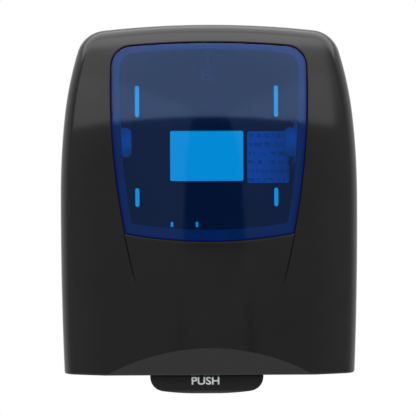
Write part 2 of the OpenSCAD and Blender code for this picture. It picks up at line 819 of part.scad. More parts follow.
axle_head_r = hub_axle_d / 2 + 2.5;
axle_head_t = 1.5;
axle_head_x = hub_tip_x + 1.2;
module hub_axle() {
    axis = [roll_d, roll_z];
    bar(axle_head_x, axle_head_x + axle_head_t, axis, axle_head_r);
    bar(axle_head_x + axle_head_t, arm_in_x + arm_t, axis, hub_axle_d / 2);
}
module hub_axle_right() { color(steel) hub_axle(); }
module hub_axle_left() { color(steel) mirror([1, 0, 0]) hub_axle(); }

hub_fin_count = 3;
hub_fin_w = 3;
hub_fin_h = 1;
hub_tip_r = hub_d / 2 - 3;
hub_tip_len = 4;

// Hub on the right: a chamfered plug with three fins and a flange against the roll's end
module roll_hub() {
    axis = [roll_d, roll_z];
    translate([0, -axis.x, axis.y]) difference() {
        union() {
            rotate([0, 90, 0]) rotate_extrude() polygon([
                [0, hub_tip_x], [hub_tip_r, hub_tip_x], [hub_d / 2, hub_tip_x + hub_tip_len],
                [hub_d / 2, hub_flange_x], [hub_flange_r, hub_flange_x],
                [hub_flange_r, hub_flange_x + hub_flange_t], [0, hub_flange_x + hub_flange_t]]);
            for (i = [0:hub_fin_count - 1]) rotate([360 / hub_fin_count * i + 30, 0, 0])
                translate([hub_tip_x + hub_tip_len, -hub_fin_w / 2, 0])
                    cube([hub_flange_x - hub_tip_x - hub_tip_len + 0.5, hub_fin_w, hub_d / 2 + hub_fin_h]);
        }
        translate([hub_tip_x - 1, 0, 0]) rotate([0, 90, 0])
            cylinder(h = axle_head_x - hub_tip_x + axle_head_t + 1 + side_gap, r = axle_head_r + side_gap);
        rotate([0, 90, 0]) cylinder(h = arm_in_x, r = hub_axle_d / 2 + run_gap);
    }
}
module roll_hub_right() { color(pale_plastic) roll_hub(); }
module roll_hub_left() { color(pale_plastic) mirror([1, 0, 0]) roll_hub(); }

// Lock

module lock_keeper() {
    color(zinc) difference() {
        union() {
            translate([-keeper_w / 2, -plate_t - keeper_t, keeper_z - keeper_flange_h])
                cube([keeper_w, keeper_t, keeper_flange_h]);
            translate([-keeper_w / 2, -lock_d + keeper_back - 5, keeper_z - keeper_t])
                cube([keeper_w, lock_d - keeper_back + 5 - plate_t, keeper_t]);
            translate([0, -lock_d + keeper_back, keeper_z - keeper_t])
                cylinder(h = keeper_t + 8 + cam_t + 2, r = keeper_pin_r);
        }
        for (x = [-1, 1]) translate([x * keeper_w / 4, -plate_t + 1, keeper_screw_z])
            rotate([90, 0, 0]) cylinder(h = keeper_t + 2, r = screw_r);
    }
}

module keeper_screws() {
    color(steel) for (x = [-1, 1])
        screw(x * keeper_w / 4, plate_t + keeper_t, keeper_screw_z, keeper_t + screw_bite);
}

nut_t = 5;
nut_r = 14;
module lock_axis() { translate([0, -lock_d, 0]) children(); }

module lock_body() {
    color(zinc) lock_axis() difference() {
        union() {
            translate([0, 0, lock_low_z]) cylinder(h = lock_wall_z - lock_low_z + 0.5, r = lock_r);
            translate([0, 0, lock_wall_z]) cylinder(h = lock_rim_t, r = lock_rim_r);
        }
        translate([0, 0, lock_low_z - 1])
            cylinder(h = lock_wall_z - lock_low_z + lock_rim_t + 2, r = plug_r + run_gap);
    }
}

module lock_nut() {
    color(zinc) lock_axis() difference() {
        translate([0, 0, crown_z - cover_wall - nut_t]) cylinder(h = nut_t, r = nut_r, $fn = 6);
        translate([0, 0, crown_z - cover_wall - nut_t - 1]) cylinder(h = nut_t + 2, r = lock_r);
    }
}

key_w = 1.6;
key_len = 8;
key_depth = 9;
plug_tail_r = 4;
module lock_plug() {
    color(steel) lock_axis() difference() {
        union() {
            translate([0, 0, lock_low_z - side_gap])
                cylinder(h = lock_wall_z + lock_rim_t - lock_low_z + side_gap, r = plug_r);
            translate([0, 0, cam_z - 1]) cylinder(h = cam_t + 2, r = plug_tail_r);
        }
        translate([-key_w / 2, -key_len / 2, lock_wall_z + lock_rim_t - key_depth])
            cube([key_w, key_len, key_depth + 1]);
    }
}

cam_hook_a = 34;
cam_web_a = 26;
// Sickle cam: it points aside when unlocked, and a quarter turn takes it behind the keeper's pin
module lock_cam() {
    color(zinc) lock_axis() translate([0, 0, cam_z]) difference() {
        linear_extrude(cam_t) {
            circle(r = plug_r + 2);
            intersection() {
                difference() {
                    circle(r = cam_out_r);
                    circle(r = cam_in_r);
                }
                polygon(concat([[0, 0]], arc([0, 0], cam_out_r * 2, -cam_hook_a - cam_web_a, cam_hook_a, 4),
                    [cam_out_r * 2 * at_angle(cam_hook_a)]));
            }
            intersection() {
                circle(r = (cam_in_r + cam_out_r) / 2);
                polygon([[0, 0], cam_out_r * 2 * at_angle(-cam_hook_a - cam_web_a),
                    cam_out_r * 2 * at_angle(-cam_hook_a - cam_web_a / 4)]);
            }
        }
        translate([0, 0, -1]) cylinder(h = cam_t + 2, r = plug_tail_r);
    }
}

// Cover and window

outer_base = cover_loop(-shoulder_r, foot_z, foot_r);

// A loop between the shoulder and the window that follows the scoop's edge along the bottom
on_base = n_base + n_foot;
edge_loop = [
    for (i = [0:len(outer_base) - 1])
        let (p = mix(outer_base[i], opening_loop(0)[i], 0.3))
        i < on_base || i > len(outer_base) - on_base ? [p.x, scoop_edge(p.x)] : p];

shoulder_steps = 5;
function shoulder_rows(wall) = [
    for (k = [0:shoulder_steps])
        let (a = 90 * k / shoulder_steps)
        on_front(cover_loop(-wall - (shoulder_r - wall) * (1 - cos(a)), foot_z, foot_r),
            wall + (shoulder_r - wall) * (1 - sin(a)))];
function reversed(list) = [for (i = [len(list) - 1:-1:0]) list[i]];

ledge_back = opening_loop(2.5);
front_steps = 3;

cover_rows = concat(
    [at_depth(cover_loop(draft, foot_z, foot_r), rear_edge_d)],
    shoulder_rows(0),
    [for (k = [0:front_steps]) on_front(mix_loops(edge_loop, opening_loop(0), k / front_steps), 0)],
    [on_front(opening_loop(0), recess), on_front(aperture_loop, recess)],
    [on_front(aperture_loop, recess + ledge_t), on_front(ledge_back, recess + ledge_t)],
    [for (k = [1:front_steps])
        on_front(mix_loops(ledge_back, edge_loop, k / front_steps), cover_wall)],
    reversed(shoulder_rows(cover_wall)),
    [at_depth(cover_loop(draft - cover_wall, foot_z, foot_r), rear_edge_d)]);

// What is cut off below the bottom edge, and round the hinge corner
module below_base() {
    translate([-cover_w, -2 * front_d, base_z - 100]) cube([2 * cover_w, 2 * front_d + 10, 100]);
    difference() {
        translate([-cover_w, -hinge_d, base_z - 1]) cube([2 * cover_w, hinge_d, hinge_r + 1]);
        bar(-cover_w - 1, cover_w + 1, [hinge_d, hinge_z], hinge_r);
    }
}

// A shallow crease that runs on from a bottom corner of the window and fades out
crease_w = 1.1;
crease_sunk = 1;
function side_x(z) =
    win_w / 2 - win_side_r + sqrt(win_side_r * win_side_r - pow(z - win_wide_z, 2));
crease_top_z = win_base_z + 9;
module crease() {
    ends = [for (z = [crease_top_z, crease_top_z - crease_len]) [side_x(z), z]];
    floor_y = [crease_sunk - front_at(ends[0]), 0.05 - front_at(ends[1])];
    pts = [
        for (k = [0, 1], dx = [-crease_w / 2, crease_w / 2], lift = [0, 3])
            [ends[k].x + dx * (k == 0 ? 1 : 0.4), floor_y[k] - lift, ends[k].y]];
    polyhedron(pts, [[0, 2, 1], [1, 2, 3], [4, 5, 6], [5, 7, 6], [0, 1, 4], [1, 5, 4],
        [2, 6, 3], [3, 6, 7], [0, 4, 2], [2, 4, 6], [1, 3, 5], [3, 7, 5]]);
}

ear_x = lug_x + lug_w + 3;
module cover_ear() {
    bar(ear_x, ear_x + ear_w, [hinge_d, hinge_z], ear_r);
    across(ear_x) linear_extrude(ear_w)
        translate([-hinge_d - ear_r, hinge_z]) square([2 * ear_r, ear_r]);
}

module front_cover() {
    color(black_gloss) difference() {
        union() {
            difference() {
                ring_solid(cover_rows);
                below_base();
                lock_axis() translate([0, 0, crown_z - 20]) cylinder(h = 40, r = lock_r);
            }
            on_both_sides() cover_ear();
        }
        on_both_sides() bar(ear_x - 1, ear_x + ear_w - 1, [hinge_d, hinge_z], hinge_pin_r);
        on_both_sides() crease();
    }
}

win_middle = [0, (win_top_z + win_base_z) / 2];
win_edge = opening_loop(-win_gap);
function window_ring(t) = [for (p = win_edge) mix(win_middle, p, t)];
win_steps = [0.2, 0.45, 0.7, 0.88, 1];
tape_inset = 0.6;
tape_inner = [for (i = [0:len(win_edge) - 1]) mix(aperture_loop[i], win_edge[i], tape_inset / ledge_w)];
tape_outer = [for (i = [0:len(win_edge) - 1]) mix(win_edge[i], aperture_loop[i], tape_inset / ledge_w)];
module window() {
    color(blue_tint) capped_solid(
        on_front([win_middle], win_t)[0],
        concat([for (t = [0.2, 0.45, 0.7]) on_front(window_ring(t), win_t)],
            [for (loop = [tape_inner, tape_outer, win_edge]) on_front(loop, win_t)],
            [for (t = reversed(win_steps)) on_front(window_ring(t), 0)]),
        on_front([win_middle], 0)[0]);
}

// Foam tape between the window and its ledge, set in from both edges of the ledge
tape_seat = seat_gap / 2;
module window_tape() {
    color(vinyl) ring_solid([
        on_front(tape_outer, win_t + tape_seat), on_front(tape_inner, win_t + tape_seat),
        on_front(tape_inner, recess - tape_seat), on_front(tape_outer, recess - tape_seat)]);
}

module hinge_pins() {
    color(steel) on_both_sides()
        bar(lug_x, ear_x + ear_w - 1, [hinge_d, hinge_z], hinge_pin_r);
}

// Lever

// The paddle's section: [depth, height] along its face, from the curled foot to the barrel
curl_r = 16;
paddle_top_z = base_z + 20;
module paddle_section() {
    front = -paddle_d;
    translate([front, paddle_low_z + curl_r])
        square([paddle_t, paddle_top_z - paddle_low_z - curl_r]);
    intersection() {
        translate([front + curl_r, paddle_low_z + curl_r]) difference() {
            circle(r = curl_r);
            circle(r = curl_r - paddle_t);
        }
        translate([front, paddle_low_z]) square([curl_r * 0.8, curl_r + 1]);
    }
    polygon([
        [front, paddle_top_z - paddle_t], [front + paddle_t, paddle_top_z - paddle_t],
        [-pivot.x + lever_barrel_r * 0.7, pivot.y - lever_barrel_r * 0.7],
        [-pivot.x - lever_barrel_r * 0.7, pivot.y + lever_barrel_r * 0.7],
        [front, paddle_top_z]]);
}

// The paddle's outline from the front: round corners and a bowed bottom edge
module paddle_face() {
    top = pivot.y + lever_barrel_r + 1;
    x = paddle_w / 2;
    bow = [0, paddle_low_z + paddle_bow_r];
    corner_x = x - paddle_r;
    corner = bow + [corner_x, -sqrt(pow(paddle_bow_r - paddle_r, 2) - corner_x * corner_x)];
    intersection() {
        union() {
            translate([-x, corner.y]) square([paddle_w, top - corner.y]);
            for (k = [-1, 1]) translate([k * corner.x, corner.y]) circle(r = paddle_r);
            polygon([bow, for (k = [-1, 1]) bow + 1.2 * [k * corner_x, corner.y - bow.y]]);
        }
        translate(bow) circle(r = paddle_bow_r, $fn = 180);
    }
}

gusset_t = 3;
gusset_x = [-paddle_w / 2 + 8, -gusset_t / 2, paddle_w / 2 - 8 - gusset_t];
module push_lever() {
    color(black_gloss) difference() {
        union() {
            intersection() {
                across(-paddle_w) linear_extrude(2 * paddle_w) paddle_section();
                facing(0) linear_extrude(front_d) translate([-paddle_off, 0]) paddle_face();
            }
            bar(-lever_barrel_x, lever_barrel_x, pivot, lever_barrel_r);
            for (x = gusset_x) across(x - paddle_off) linear_extrude(gusset_t) polygon([
                [-paddle_d + paddle_t / 2, paddle_low_z + curl_r],
                [-paddle_d + paddle_t / 2, paddle_top_z],
                [-pivot.x, pivot.y],
                [-pivot.x + lever_barrel_r * 0.6, pivot.y - lever_barrel_r * 0.6]]);
        }
        bar(-lever_barrel_x - 1, lever_barrel_x + 1, pivot, shaft_d / 2);
    }
}

lever_end_x = gear_hub_end + side_gap + clip_t + shaft_tail;
lever_left_x = frame_out_x + bush_rim_t + side_gap + clip_t + shaft_tail;
module lever_shaft() {
    color(steel) bar(-lever_left_x, lever_end_x, pivot, shaft_d / 2);
}

module lever_clips() {
    color(steel) {
        sleeve(gear_hub_end + side_gap, gear_hub_end + side_gap + clip_t, pivot, clip_r, shaft_d / 2);
        sleeve(-lever_left_x + shaft_tail, -lever_left_x + shaft_tail + clip_t, pivot, clip_r, shaft_d / 2);
    }
}

lever_wire_r = 0.9;
lever_coil_r = shaft_d / 2 + 0.5 + lever_wire_r;
lever_leg = 12;
lever_coil_turns = 7;
lever_coil_pitch = 2.8;
module lever_spring() {
    color(steel) translate([-frame_x + 2, -pivot.x, pivot.y])
        coil("lever spring", lever_coil_r, lever_coil_pitch, lever_coil_turns, lever_leg, lever_wire_r);
}

// Gears

sector_back = 9;
sector_fore = 2;
sector_hole_a = 13;
sector_hub_r = shaft_d / 2 + 5;
sector_foot_r = sector_hub_r * 0.6;
sector_rim = 6;
function sector_a(k) = mesh_a + 360 / sector_n * k;
function sector_teeth() = [for (k = [-sector_back:sector_fore]) each tooth(sector_n, sector_a(k))];

// Sector gear: a toothed arc on a web with a lightening hole, and a hub on the lever's shaft
module sector_gear() {
    root = gear_m * sector_n / 2 - 1.25 * gear_m;
    a0 = sector_a(-sector_back - 0.5);
    a1 = sector_a(sector_fore + 0.5);
    middle = (a0 + a1) / 2;
    color(grey_acetal) difference() {
        union() {
            across(gear_x) linear_extrude(gear_w) translate([-pivot.x, pivot.y]) difference() {
                polygon(concat(
                    [sector_foot_r * at_angle(a0 - 90), root * at_angle(a0)], sector_teeth(),
                    [root * at_angle(a1), sector_foot_r * at_angle(a1 + 90)]));
                polygon([
                    for (r = [root * 0.42, root - sector_rim], side = [-1, 1])
                        r * at_angle(middle + (r < root / 2 ? side : -side) * sector_hole_a)]);
            }
            bar(gear_hub_x, gear_hub_end, pivot, sector_hub_r);
        }
        bar(gear_hub_x - 1, gear_hub_end + 1, pivot, shaft_d / 2);
    }
}

function pinion_teeth() = [
    for (k = [0:pinion_n - 1]) each tooth(pinion_n, 180 + mesh_a + 360 / pinion_n * (k + 0.5))];
module drive_pinion() {
    hub_r = gear_m * pinion_n / 2 - 1.25 * gear_m;
    color(grey_acetal) difference() {
        union() {
            across(gear_x) linear_extrude(gear_w) translate([-feed.x, feed.y]) polygon(pinion_teeth());
            bar(gear_hub_x, gear_hub_end, feed, hub_r);
        }
        bar(gear_hub_x - 1, gear_hub_end + 1, feed, clutch_r);
    }
}

module one_way_clutch() {
    color(steel) sleeve(gear_hub_x, gear_hub_end, feed, clutch_r, shaft_d / 2 + run_gap);
}

// Feed roller

feed_end_x = pinion_end_x + clip_t + shaft_tail;
module feed_shaft() {
    color(steel) bar(-knob_x - knob_w + 4, feed_end_x, feed, shaft_d / 2);
}

module feed_clip() {
    color(steel) sleeve(pinion_end_x, pinion_end_x + clip_t, feed, clip_r, shaft_d / 2);
}

core_half = frame_x - 6;
grip_span = 2 * core_half - grip_w - 8;
grip_pitch = grip_span / (grip_count - 1);
core_end_w = 3;
module feed_core() {
    color(black_satin) difference() {
        union() {
            bar(-core_half, core_half, feed, core_d / 2);
            for (x = [-core_half, core_half - core_end_w])
                bar(x, x + core_end_w, feed, core_d / 2 + 2);
        }
        bar(-core_half - 1, core_half + 1, feed, shaft_d / 2);
    }
}

module feed_grips() {
    color(rubber) for (i = [0:grip_count - 1])
        sleeve(-grip_span / 2 + i * grip_pitch - grip_w / 2, -grip_span / 2 + i * grip_pitch + grip_w / 2,
            feed, feed_d / 2, core_d / 2);
}

flute_count = 18;
flute_r = 2.2;
knob_hub_r = shaft_d / 2 + 4;
module feed_knob() {
    color(pale_plastic) mirror([1, 0, 0]) difference() {
        bar(knob_x, knob_x + knob_w, feed, knob_d / 2);
        for (i = [0:flute_count - 1])
            bar(knob_x - 1, knob_x + knob_w + 1,
                feed + (knob_d / 2 + flute_r * 0.4) * at_angle(360 / flute_count * i), flute_r);
        difference() {
            bar(knob_x + 4, knob_x + knob_w + 1, feed, knob_d / 2 - 5);
            bar(knob_x, knob_x + knob_w + 2, feed, knob_hub_r);
        }
        bar(knob_x - 1, knob_x + knob_w - 4, feed, shaft_d / 2);
    }
}

// Pinch flap

flap_half = frame_x - 8;
flap_ear_t = 4;
flap_ear_r = pinch_axle_d / 2 + 3;
flap_barrel_r = flap_pin_r + 1.5;
flap_curl_r = 8;
pinch_half = flap_half - flap_ear_t - side_gap;

// Hinged front guide: a blade on two trunnions, ears for the pinch roller, a curled top
module pinch_flap() {
    color(black_satin) difference() {
        union() {
            across(-flap_half) linear_extrude(2 * flap_half) {
                translate([-flap_d - flap_t, flap_pivot.y]) square([flap_t, flap_top_z - flap_pivot.y]);
                intersection() {
                    translate([-flap_d - flap_curl_r, flap_top_z]) difference() {
                        circle(r = flap_curl_r);
                        circle(r = flap_curl_r - flap_t);
                    }
                    translate([-flap_d - flap_curl_r, flap_top_z - 1])
                        square([flap_curl_r, flap_curl_r + 1]);
                }
                translate([-flap_pivot.x, flap_pivot.y]) circle(r = flap_barrel_r);
            }
            on_both_sides() {
                bar(flap_half - 1, frame_out_x, flap_pivot, flap_pin_r);
                across(flap_half - flap_ear_t) linear_extrude(flap_ear_t) {
                    translate([-pinch.x, pinch.y]) circle(r = flap_ear_r);
                    translate([-flap_d - flap_t / 2, pinch.y - flap_ear_r])
                        square([flap_d + flap_t / 2 - pinch.x, 2 * flap_ear_r]);
                }
            }
        }
        bar(-flap_half - 1, flap_half + 1, pinch, pinch_axle_d / 2);
    }
}

module pinch_axle() {
    color(steel) bar(-flap_half, flap_half, pinch, pinch_axle_d / 2);
}

pinch_grip_count = 4;
pinch_neck = 1.2;
module pinch_roller() {
    color(rubber) difference() {
        bar(-pinch_half, pinch_half, pinch, pinch_d / 2);
        for (i = [1:pinch_grip_count - 1])
            let (x = -pinch_half + 2 * pinch_half * i / pinch_grip_count)
            sleeve(x - 4, x + 4, pinch, pinch_d, pinch_d / 2 - pinch_neck);
        bar(-pinch_half - 1, pinch_half + 1, pinch, pinch_axle_d / 2 + run_gap);
    }
}

flap_wire_r = 0.7;
flap_coil_r = flap_pin_r + 0.6 + flap_wire_r;
flap_leg = 9;
flap_coil_turns = 2;
flap_coil_pitch = 2;
module flap_spring() {
    color(steel) translate([-frame_x + 1.4, -flap_pivot.x, flap_pivot.y])
        coil("flap spring", flap_coil_r, flap_coil_pitch, flap_coil_turns, flap_leg, flap_wire_r);
}

// Label on the plate, beside the opening
label_w = 52;
label_h = 64;
label_t = 0.3;
label_x = 50;
label_z = -42;
module loading_label() {
    color(vinyl) facing(plate_t) linear_extrude(label_t) translate([label_x, label_z])
        rounded(3) square([label_w, label_h]);
}

wall_plate();
side_frame_left();
side_frame_right();
frame_screws();
paper_chute();
tear_rail();
tear_bar();
tear_bar_screws();
feed_bushes();
lever_bushes();
back_check_bearing();
arm_pins();
arm_spring_left();
arm_spring_right();
lock_keeper();
keeper_screws();
loading_label();
lever_spring();
flap_spring();
front_cover();
window();
window_tape();
hinge_pins();
lock_body();
lock_nut();
lock_plug();
lock_cam();
push_lever();
lever_shaft();
sector_gear();
lever_clips();
drive_pinion();
one_way_clutch();
feed_shaft();
feed_core();
feed_grips();
feed_knob();
feed_clip();
pinch_flap();
pinch_roller();
pinch_axle();
roll_arm_left();
roll_arm_right();
hub_axle_left();
hub_axle_right();
roll_hub_left();
roll_hub_right();
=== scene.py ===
import json
import logging
import math
from contextlib import contextmanager
from dataclasses import dataclass, field
from enum import Enum
from typing import Callable, Iterable, Iterator, Sequence

import bmesh
import bpy
from bmesh.types import BMesh
from bpy.types import Material, Mesh, Node, NodeSocket, NodeTree, Object
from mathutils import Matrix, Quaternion, Vector

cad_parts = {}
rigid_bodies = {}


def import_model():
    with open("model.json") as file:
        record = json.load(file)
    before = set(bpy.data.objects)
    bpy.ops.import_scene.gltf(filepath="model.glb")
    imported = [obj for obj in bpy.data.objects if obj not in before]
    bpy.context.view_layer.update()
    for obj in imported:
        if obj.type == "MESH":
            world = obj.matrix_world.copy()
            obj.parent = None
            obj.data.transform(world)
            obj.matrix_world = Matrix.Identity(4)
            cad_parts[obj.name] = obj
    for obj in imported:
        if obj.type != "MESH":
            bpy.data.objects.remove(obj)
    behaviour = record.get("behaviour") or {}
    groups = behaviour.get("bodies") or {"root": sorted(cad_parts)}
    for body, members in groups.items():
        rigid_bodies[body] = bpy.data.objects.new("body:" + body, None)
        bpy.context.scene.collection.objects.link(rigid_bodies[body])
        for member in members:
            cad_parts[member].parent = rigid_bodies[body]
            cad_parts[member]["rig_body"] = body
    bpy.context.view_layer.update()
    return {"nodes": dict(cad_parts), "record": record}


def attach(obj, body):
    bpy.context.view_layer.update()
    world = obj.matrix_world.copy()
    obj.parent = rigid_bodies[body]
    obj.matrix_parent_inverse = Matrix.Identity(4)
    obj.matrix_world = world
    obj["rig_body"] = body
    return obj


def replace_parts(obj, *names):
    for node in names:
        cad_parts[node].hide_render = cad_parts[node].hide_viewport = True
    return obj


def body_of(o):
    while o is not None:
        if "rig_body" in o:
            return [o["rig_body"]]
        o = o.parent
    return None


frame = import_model()

LOG = logging.getLogger("dispenser")
MM = 0.001
UM = 0.000001
Point = tuple[float, float]
Point3 = tuple[float, float, float]
Shares = tuple[float, ...]

# Two points between the ends of a rounded edge, as shares of its radius from either face
ROUNDING: tuple[Point, Point] = ((0.5, 0.13), (0.13, 0.5))
WHITE = "ffffff"
# Sockets of a Mix node that blends two colours
MIX_SHARE, MIX_A, MIX_B, MIX_RESULT = 0, 6, 7, 2
# Blender's noise gathers between these values
NOISE_LOW, NOISE_HIGH = 0.3, 0.7


class Body(str, Enum):
    """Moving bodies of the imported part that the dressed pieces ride."""

    COVER = "cover"
    LEVER = "lever"


class LampShape(str, Enum):
    """Outlines of the soft boxes."""

    PANEL = "RECTANGLE"
    OVAL = "ELLIPSE"

    def fill(self) -> float:
        """Share of the outline's box that gives light."""
        return math.pi / 4 if self is LampShape.OVAL else 1.0


class Edge(float, Enum):
    """Angle in degrees above which an edge between two faces is kept crisp."""

    MOULDED = 24.0
    TURNED = 38.0


# Plane geometry shared by the cover and the window


def mix(a: float, b: float, t: float) -> float:
    """Blends two numbers, t being the share of b."""
    return a + (b - a) * t


def mix_point(a: Point, b: Point, t: float) -> Point:
    """Blends two points of the front plane, t being the share of b."""
    return mix(a[0], b[0], t), mix(a[1], b[1], t)


def heading(a: Point, b: Point) -> float:
    """Angle from +X of the line from a to b, in radians."""
    return math.atan2(b[1] - a[1], b[0] - a[0])


def polar(centre: Point, radius: float, angle: float) -> Point:
    """Point on a circle, at an angle from +X in radians."""
    return centre[0] + radius * math.cos(angle), centre[1] + radius * math.sin(angle)


def arc(centre: Point, radius: float, start: float, end: float, count: int) -> list[Point]:
    """Points along an arc between two angles in radians, without its last one."""
    return [polar(centre, radius, mix(start, end, i / count)) for i in range(count)]


def meet(a: Point, ra: float, b: Point, rb: float) -> Point:
    """Where two circles meet, on the right of the line from a to b.

    Args:
        a: middle of the first circle.
        ra: radius of the first circle.
        b: middle of the second circle.
        rb: radius of the second circle.

    Returns:
        The meeting point.
    """
    gap = math.dist(a, b)
    ux, uz = (b[0] - a[0]) / gap, (b[1] - a[1]) / gap
    along = (ra * ra - rb * rb + gap * gap) / (2 * gap)
    across = math.sqrt(max(0.0, ra * ra - along * along))
    return a[0] + along * ux + across * uz, a[1] + along * uz - across * ux


def both_sides(half: Sequence[Point]) -> list[Point]:
    """Closes a right half outline, from bottom middle to top middle, with its mirror image."""
    return list(half) + [(-x, z) for x, z in reversed(half[1:-1])]


@dataclass(frozen=True)
class Steps:
    """Number of points along each stretch of a half outline."""

    base: int = 56
    foot: int = 8
    low: int = 28
    up: int = 14
    turn: int = 18
    corner: int = 18
    top: int = 36

    @property
    def bottom(self) -> int:
        """Points of a half outline that belong to its bottom edge."""
        return self.base + self.foot

    @property
    def side(self) -> int:
        """Points of a half outline that belong to its side."""
        return self.low + self.up + self.turn


@dataclass(frozen=True)
class CoverOutline:
    """Outline of the cover seen from the front, in millimetres."""

    half_w: float = 164.0
    wide_z: float = -64.0
    low_r: float = 5250.0
    up_r: float = 900.0
    turn_z: float = 30.0
    turn_r: float = 420.0
    corner_r: float = 32.0
    crown_z: float = 129.0
    crown_r: float = 1570.0
    foot_z: float = -295.0
    foot_r: float = 34.0
    steps: Steps = field(default_factory=Steps)

    def loop(self, out: float) -> list[Point]:
        """Outline a distance outside the shoulder line.

        Args:
            out: distance outside, negative for inside.

        Returns:
            The closed outline.
        """
        n = self.steps
        low_c = (self.half_w - self.low_r, self.wide_z)
        up_c = (self.half_w - self.up_r, self.wide_z)
        up_a = math.asin((self.turn_z - self.wide_z) / self.up_r)
        turn_c = polar(up_c, self.up_r - self.turn_r, up_a)
        crown_c = (0.0, self.crown_z - self.crown_r)
        corner_c = meet(crown_c, self.crown_r - self.corner_r, turn_c, self.turn_r - self.corner_r)
        corner_a0, corner_a1 = heading(turn_c, corner_c), heading(crown_c, corner_c)
        foot_cz = self.foot_z + self.foot_r
        reach = math.sqrt((self.low_r - self.foot_r) ** 2 - (foot_cz - self.wide_z) ** 2)
        foot_c = (low_c[0] + reach, foot_cz)
        foot_a = heading(low_c, foot_c)
        half = [(foot_c[0] * i / n.base, self.foot_z - out) for i in range(n.base)]
        half += arc(foot_c, self.foot_r + out, -math.pi / 2, foot_a, n.foot)
        half += arc(low_c, self.low_r + out, foot_a, 0.0, n.low)
        half += arc(up_c, self.up_r + out, 0.0, up_a, n.up)
        half += arc(turn_c, self.turn_r + out, up_a, corner_a0, n.turn)
        half += arc(corner_c, self.corner_r + out, corner_a0, corner_a1, n.corner)
        half += arc(crown_c, self.crown_r + out, corner_a1, math.pi / 2, n.top)
        half.append((0.0, self.crown_z + out))
        return both_sides(half)


@dataclass(frozen=True)
class WindowOutline:
    """Outline of the window's opening seen from the front, in millimetres."""

    half_w: float = 108.0
    top_z: float = 108.4
    base_z: float = -109.6
    corner_r: float = 23.0
    foot_r: float = 1.6
    least_r: float = 0.3
    wide_z: float = 60.0
    side_r: float = 833.0
    top_r: float = 1350.0
    base_r: float = 514.0
    steps: Steps = field(default_factory=Steps)

    def loop(self, out: float) -> list[Point]:
        """Outline a distance outside the opening's edge.

        Args:
            out: distance outside, negative for inside.

        Returns:
            The closed outline.
        """
        n = self.steps
        side_c = (self.half_w - self.side_r, self.wide_z)
        top_c = (0.0, self.top_z - self.top_r)
        base_c = (0.0, self.base_z + self.base_r)
        foot_r = max(self.foot_r, self.least_r - out)
        foot_c = meet(side_c, self.side_r - foot_r, base_c, self.base_r - foot_r)
        bend_c = meet(top_c, self.top_r - self.corner_r, side_c, self.side_r - self.corner_r)
        foot_a0, foot_a1 = heading(base_c, foot_c), heading(side_c, foot_c)
        bend_a0, bend_a1 = heading(side_c, bend_c), heading(top_c, bend_c)
        half = arc(base_c, self.base_r + out, -math.pi / 2, foot_a0, n.base)
        half += arc(foot_c, foot_r + out, foot_a0, foot_a1, n.foot)
        half += arc(side_c, self.side_r + out, foot_a1, bend_a0, n.side)
        half += arc(bend_c, self.corner_r + out, bend_a0, bend_a1, n.corner)
        half += arc(top_c, self.top_r + out, bend_a1, math.pi / 2, n.top)
        half.append((0.0, self.top_z + out))
        return both_sides(half)

    def side_x(self, z: float) -> float:
        """X of the window's right side line at a height, carried on below its corner."""
        return self.half_w - self.side_r + math.sqrt(self.side_r**2 - (z - self.wide_z) ** 2)


@dataclass(frozen=True)
class FrontSkin:
    """The bulged front of the cover as a depth over the front plane, in millimetres."""

    front_d: float = 232.0
    bulge_r: float = 396.0
    lean_z: float = -20.0
    lean_r: float = 400.0
    tuck_z: float = -130.0
    tuck_r: float = 2000.0
    scoop_z: float = -223.6
    scoop_slope: float = 0.58
    base_z: float = -255.0

    def full(self, p: Point) -> float:
        """Depth of the front without its scoop.

        Args:
            p: x and height.

        Returns:
            The depth in front of the wall.
        """
        x, z = p
        lean = 0.0
        if z > self.lean_z:
            lean = (z - self.lean_z) ** 2 / (2 * self.lean_r)
        elif z < self.tuck_z:
            lean = (self.tuck_z - z) ** 2 / (2 * self.tuck_r)
        return self.front_d - x * x / (2 * self.bulge_r) - lean

    def depth(self, p: Point) -> float:
        """Depth in front of the wall at x and height, with the flat scoop over the lever."""
        scoop = self.full((0.0, self.scoop_z)) - self.scoop_slope * (self.scoop_z - p[1])
        return min(self.full(p), scoop)

    def scoop_edge(self, x: float) -> float:
        """Height of the scoop's upper edge.

        Args:
            x: place across the front.

        Returns:
            The height where the scoop's flat meets the tucked front.
        """
        bite = self.scoop_slope - (self.tuck_z - self.scoop_z) / self.tuck_r
        root = math.sqrt(bite * bite - x * x / (self.bulge_r * self.tuck_r))
        return self.scoop_z - self.tuck_r * (bite - root)

    def lay(self, loop: Sequence[Point], sunk: float) -> list[Point3]:
        """Lays a loop of points on the front, sunk a distance behind it."""
        return [(x, sunk - self.depth((x, z)), z) for x, z in loop]

    def lay_between(
        self, start: Sequence[Point], end: Sequence[Point], shares: Shares, sunk: float
    ) -> list[list[Point3]]:
        """Lays rows at shares of the way from one loop to another, sunk behind the front."""
        return [self.lay([mix_point(a, b, t) for a, b in zip(start, end)], sunk) for t in shares]


FRONT = FrontSkin()
OPENING = WindowOutline()


# Objects and meshes


def link(obj: Object) -> Object:
    """Puts a new object in the scene and gives it back."""
    bpy.context.scene.collection.objects.link(obj)
    return obj


def mesh_object(name: str, points: Iterable[Point3], faces: Iterable[Sequence[int]]) -> Object:
    """Makes a mesh object from points in millimetres.

    Args:
        name: name of the piece.
        points: points in the part's frame, in millimetres.
        faces: corner numbers of each face.

    Returns:
        The new object, in the scene.
    """
    mesh = bpy.data.meshes.new(name)
    mesh.from_pydata([(x * MM, y * MM, z * MM) for x, y, z in points], [], [list(f) for f in faces])
    mesh.validate()
    return link(bpy.data.objects.new(name, mesh))


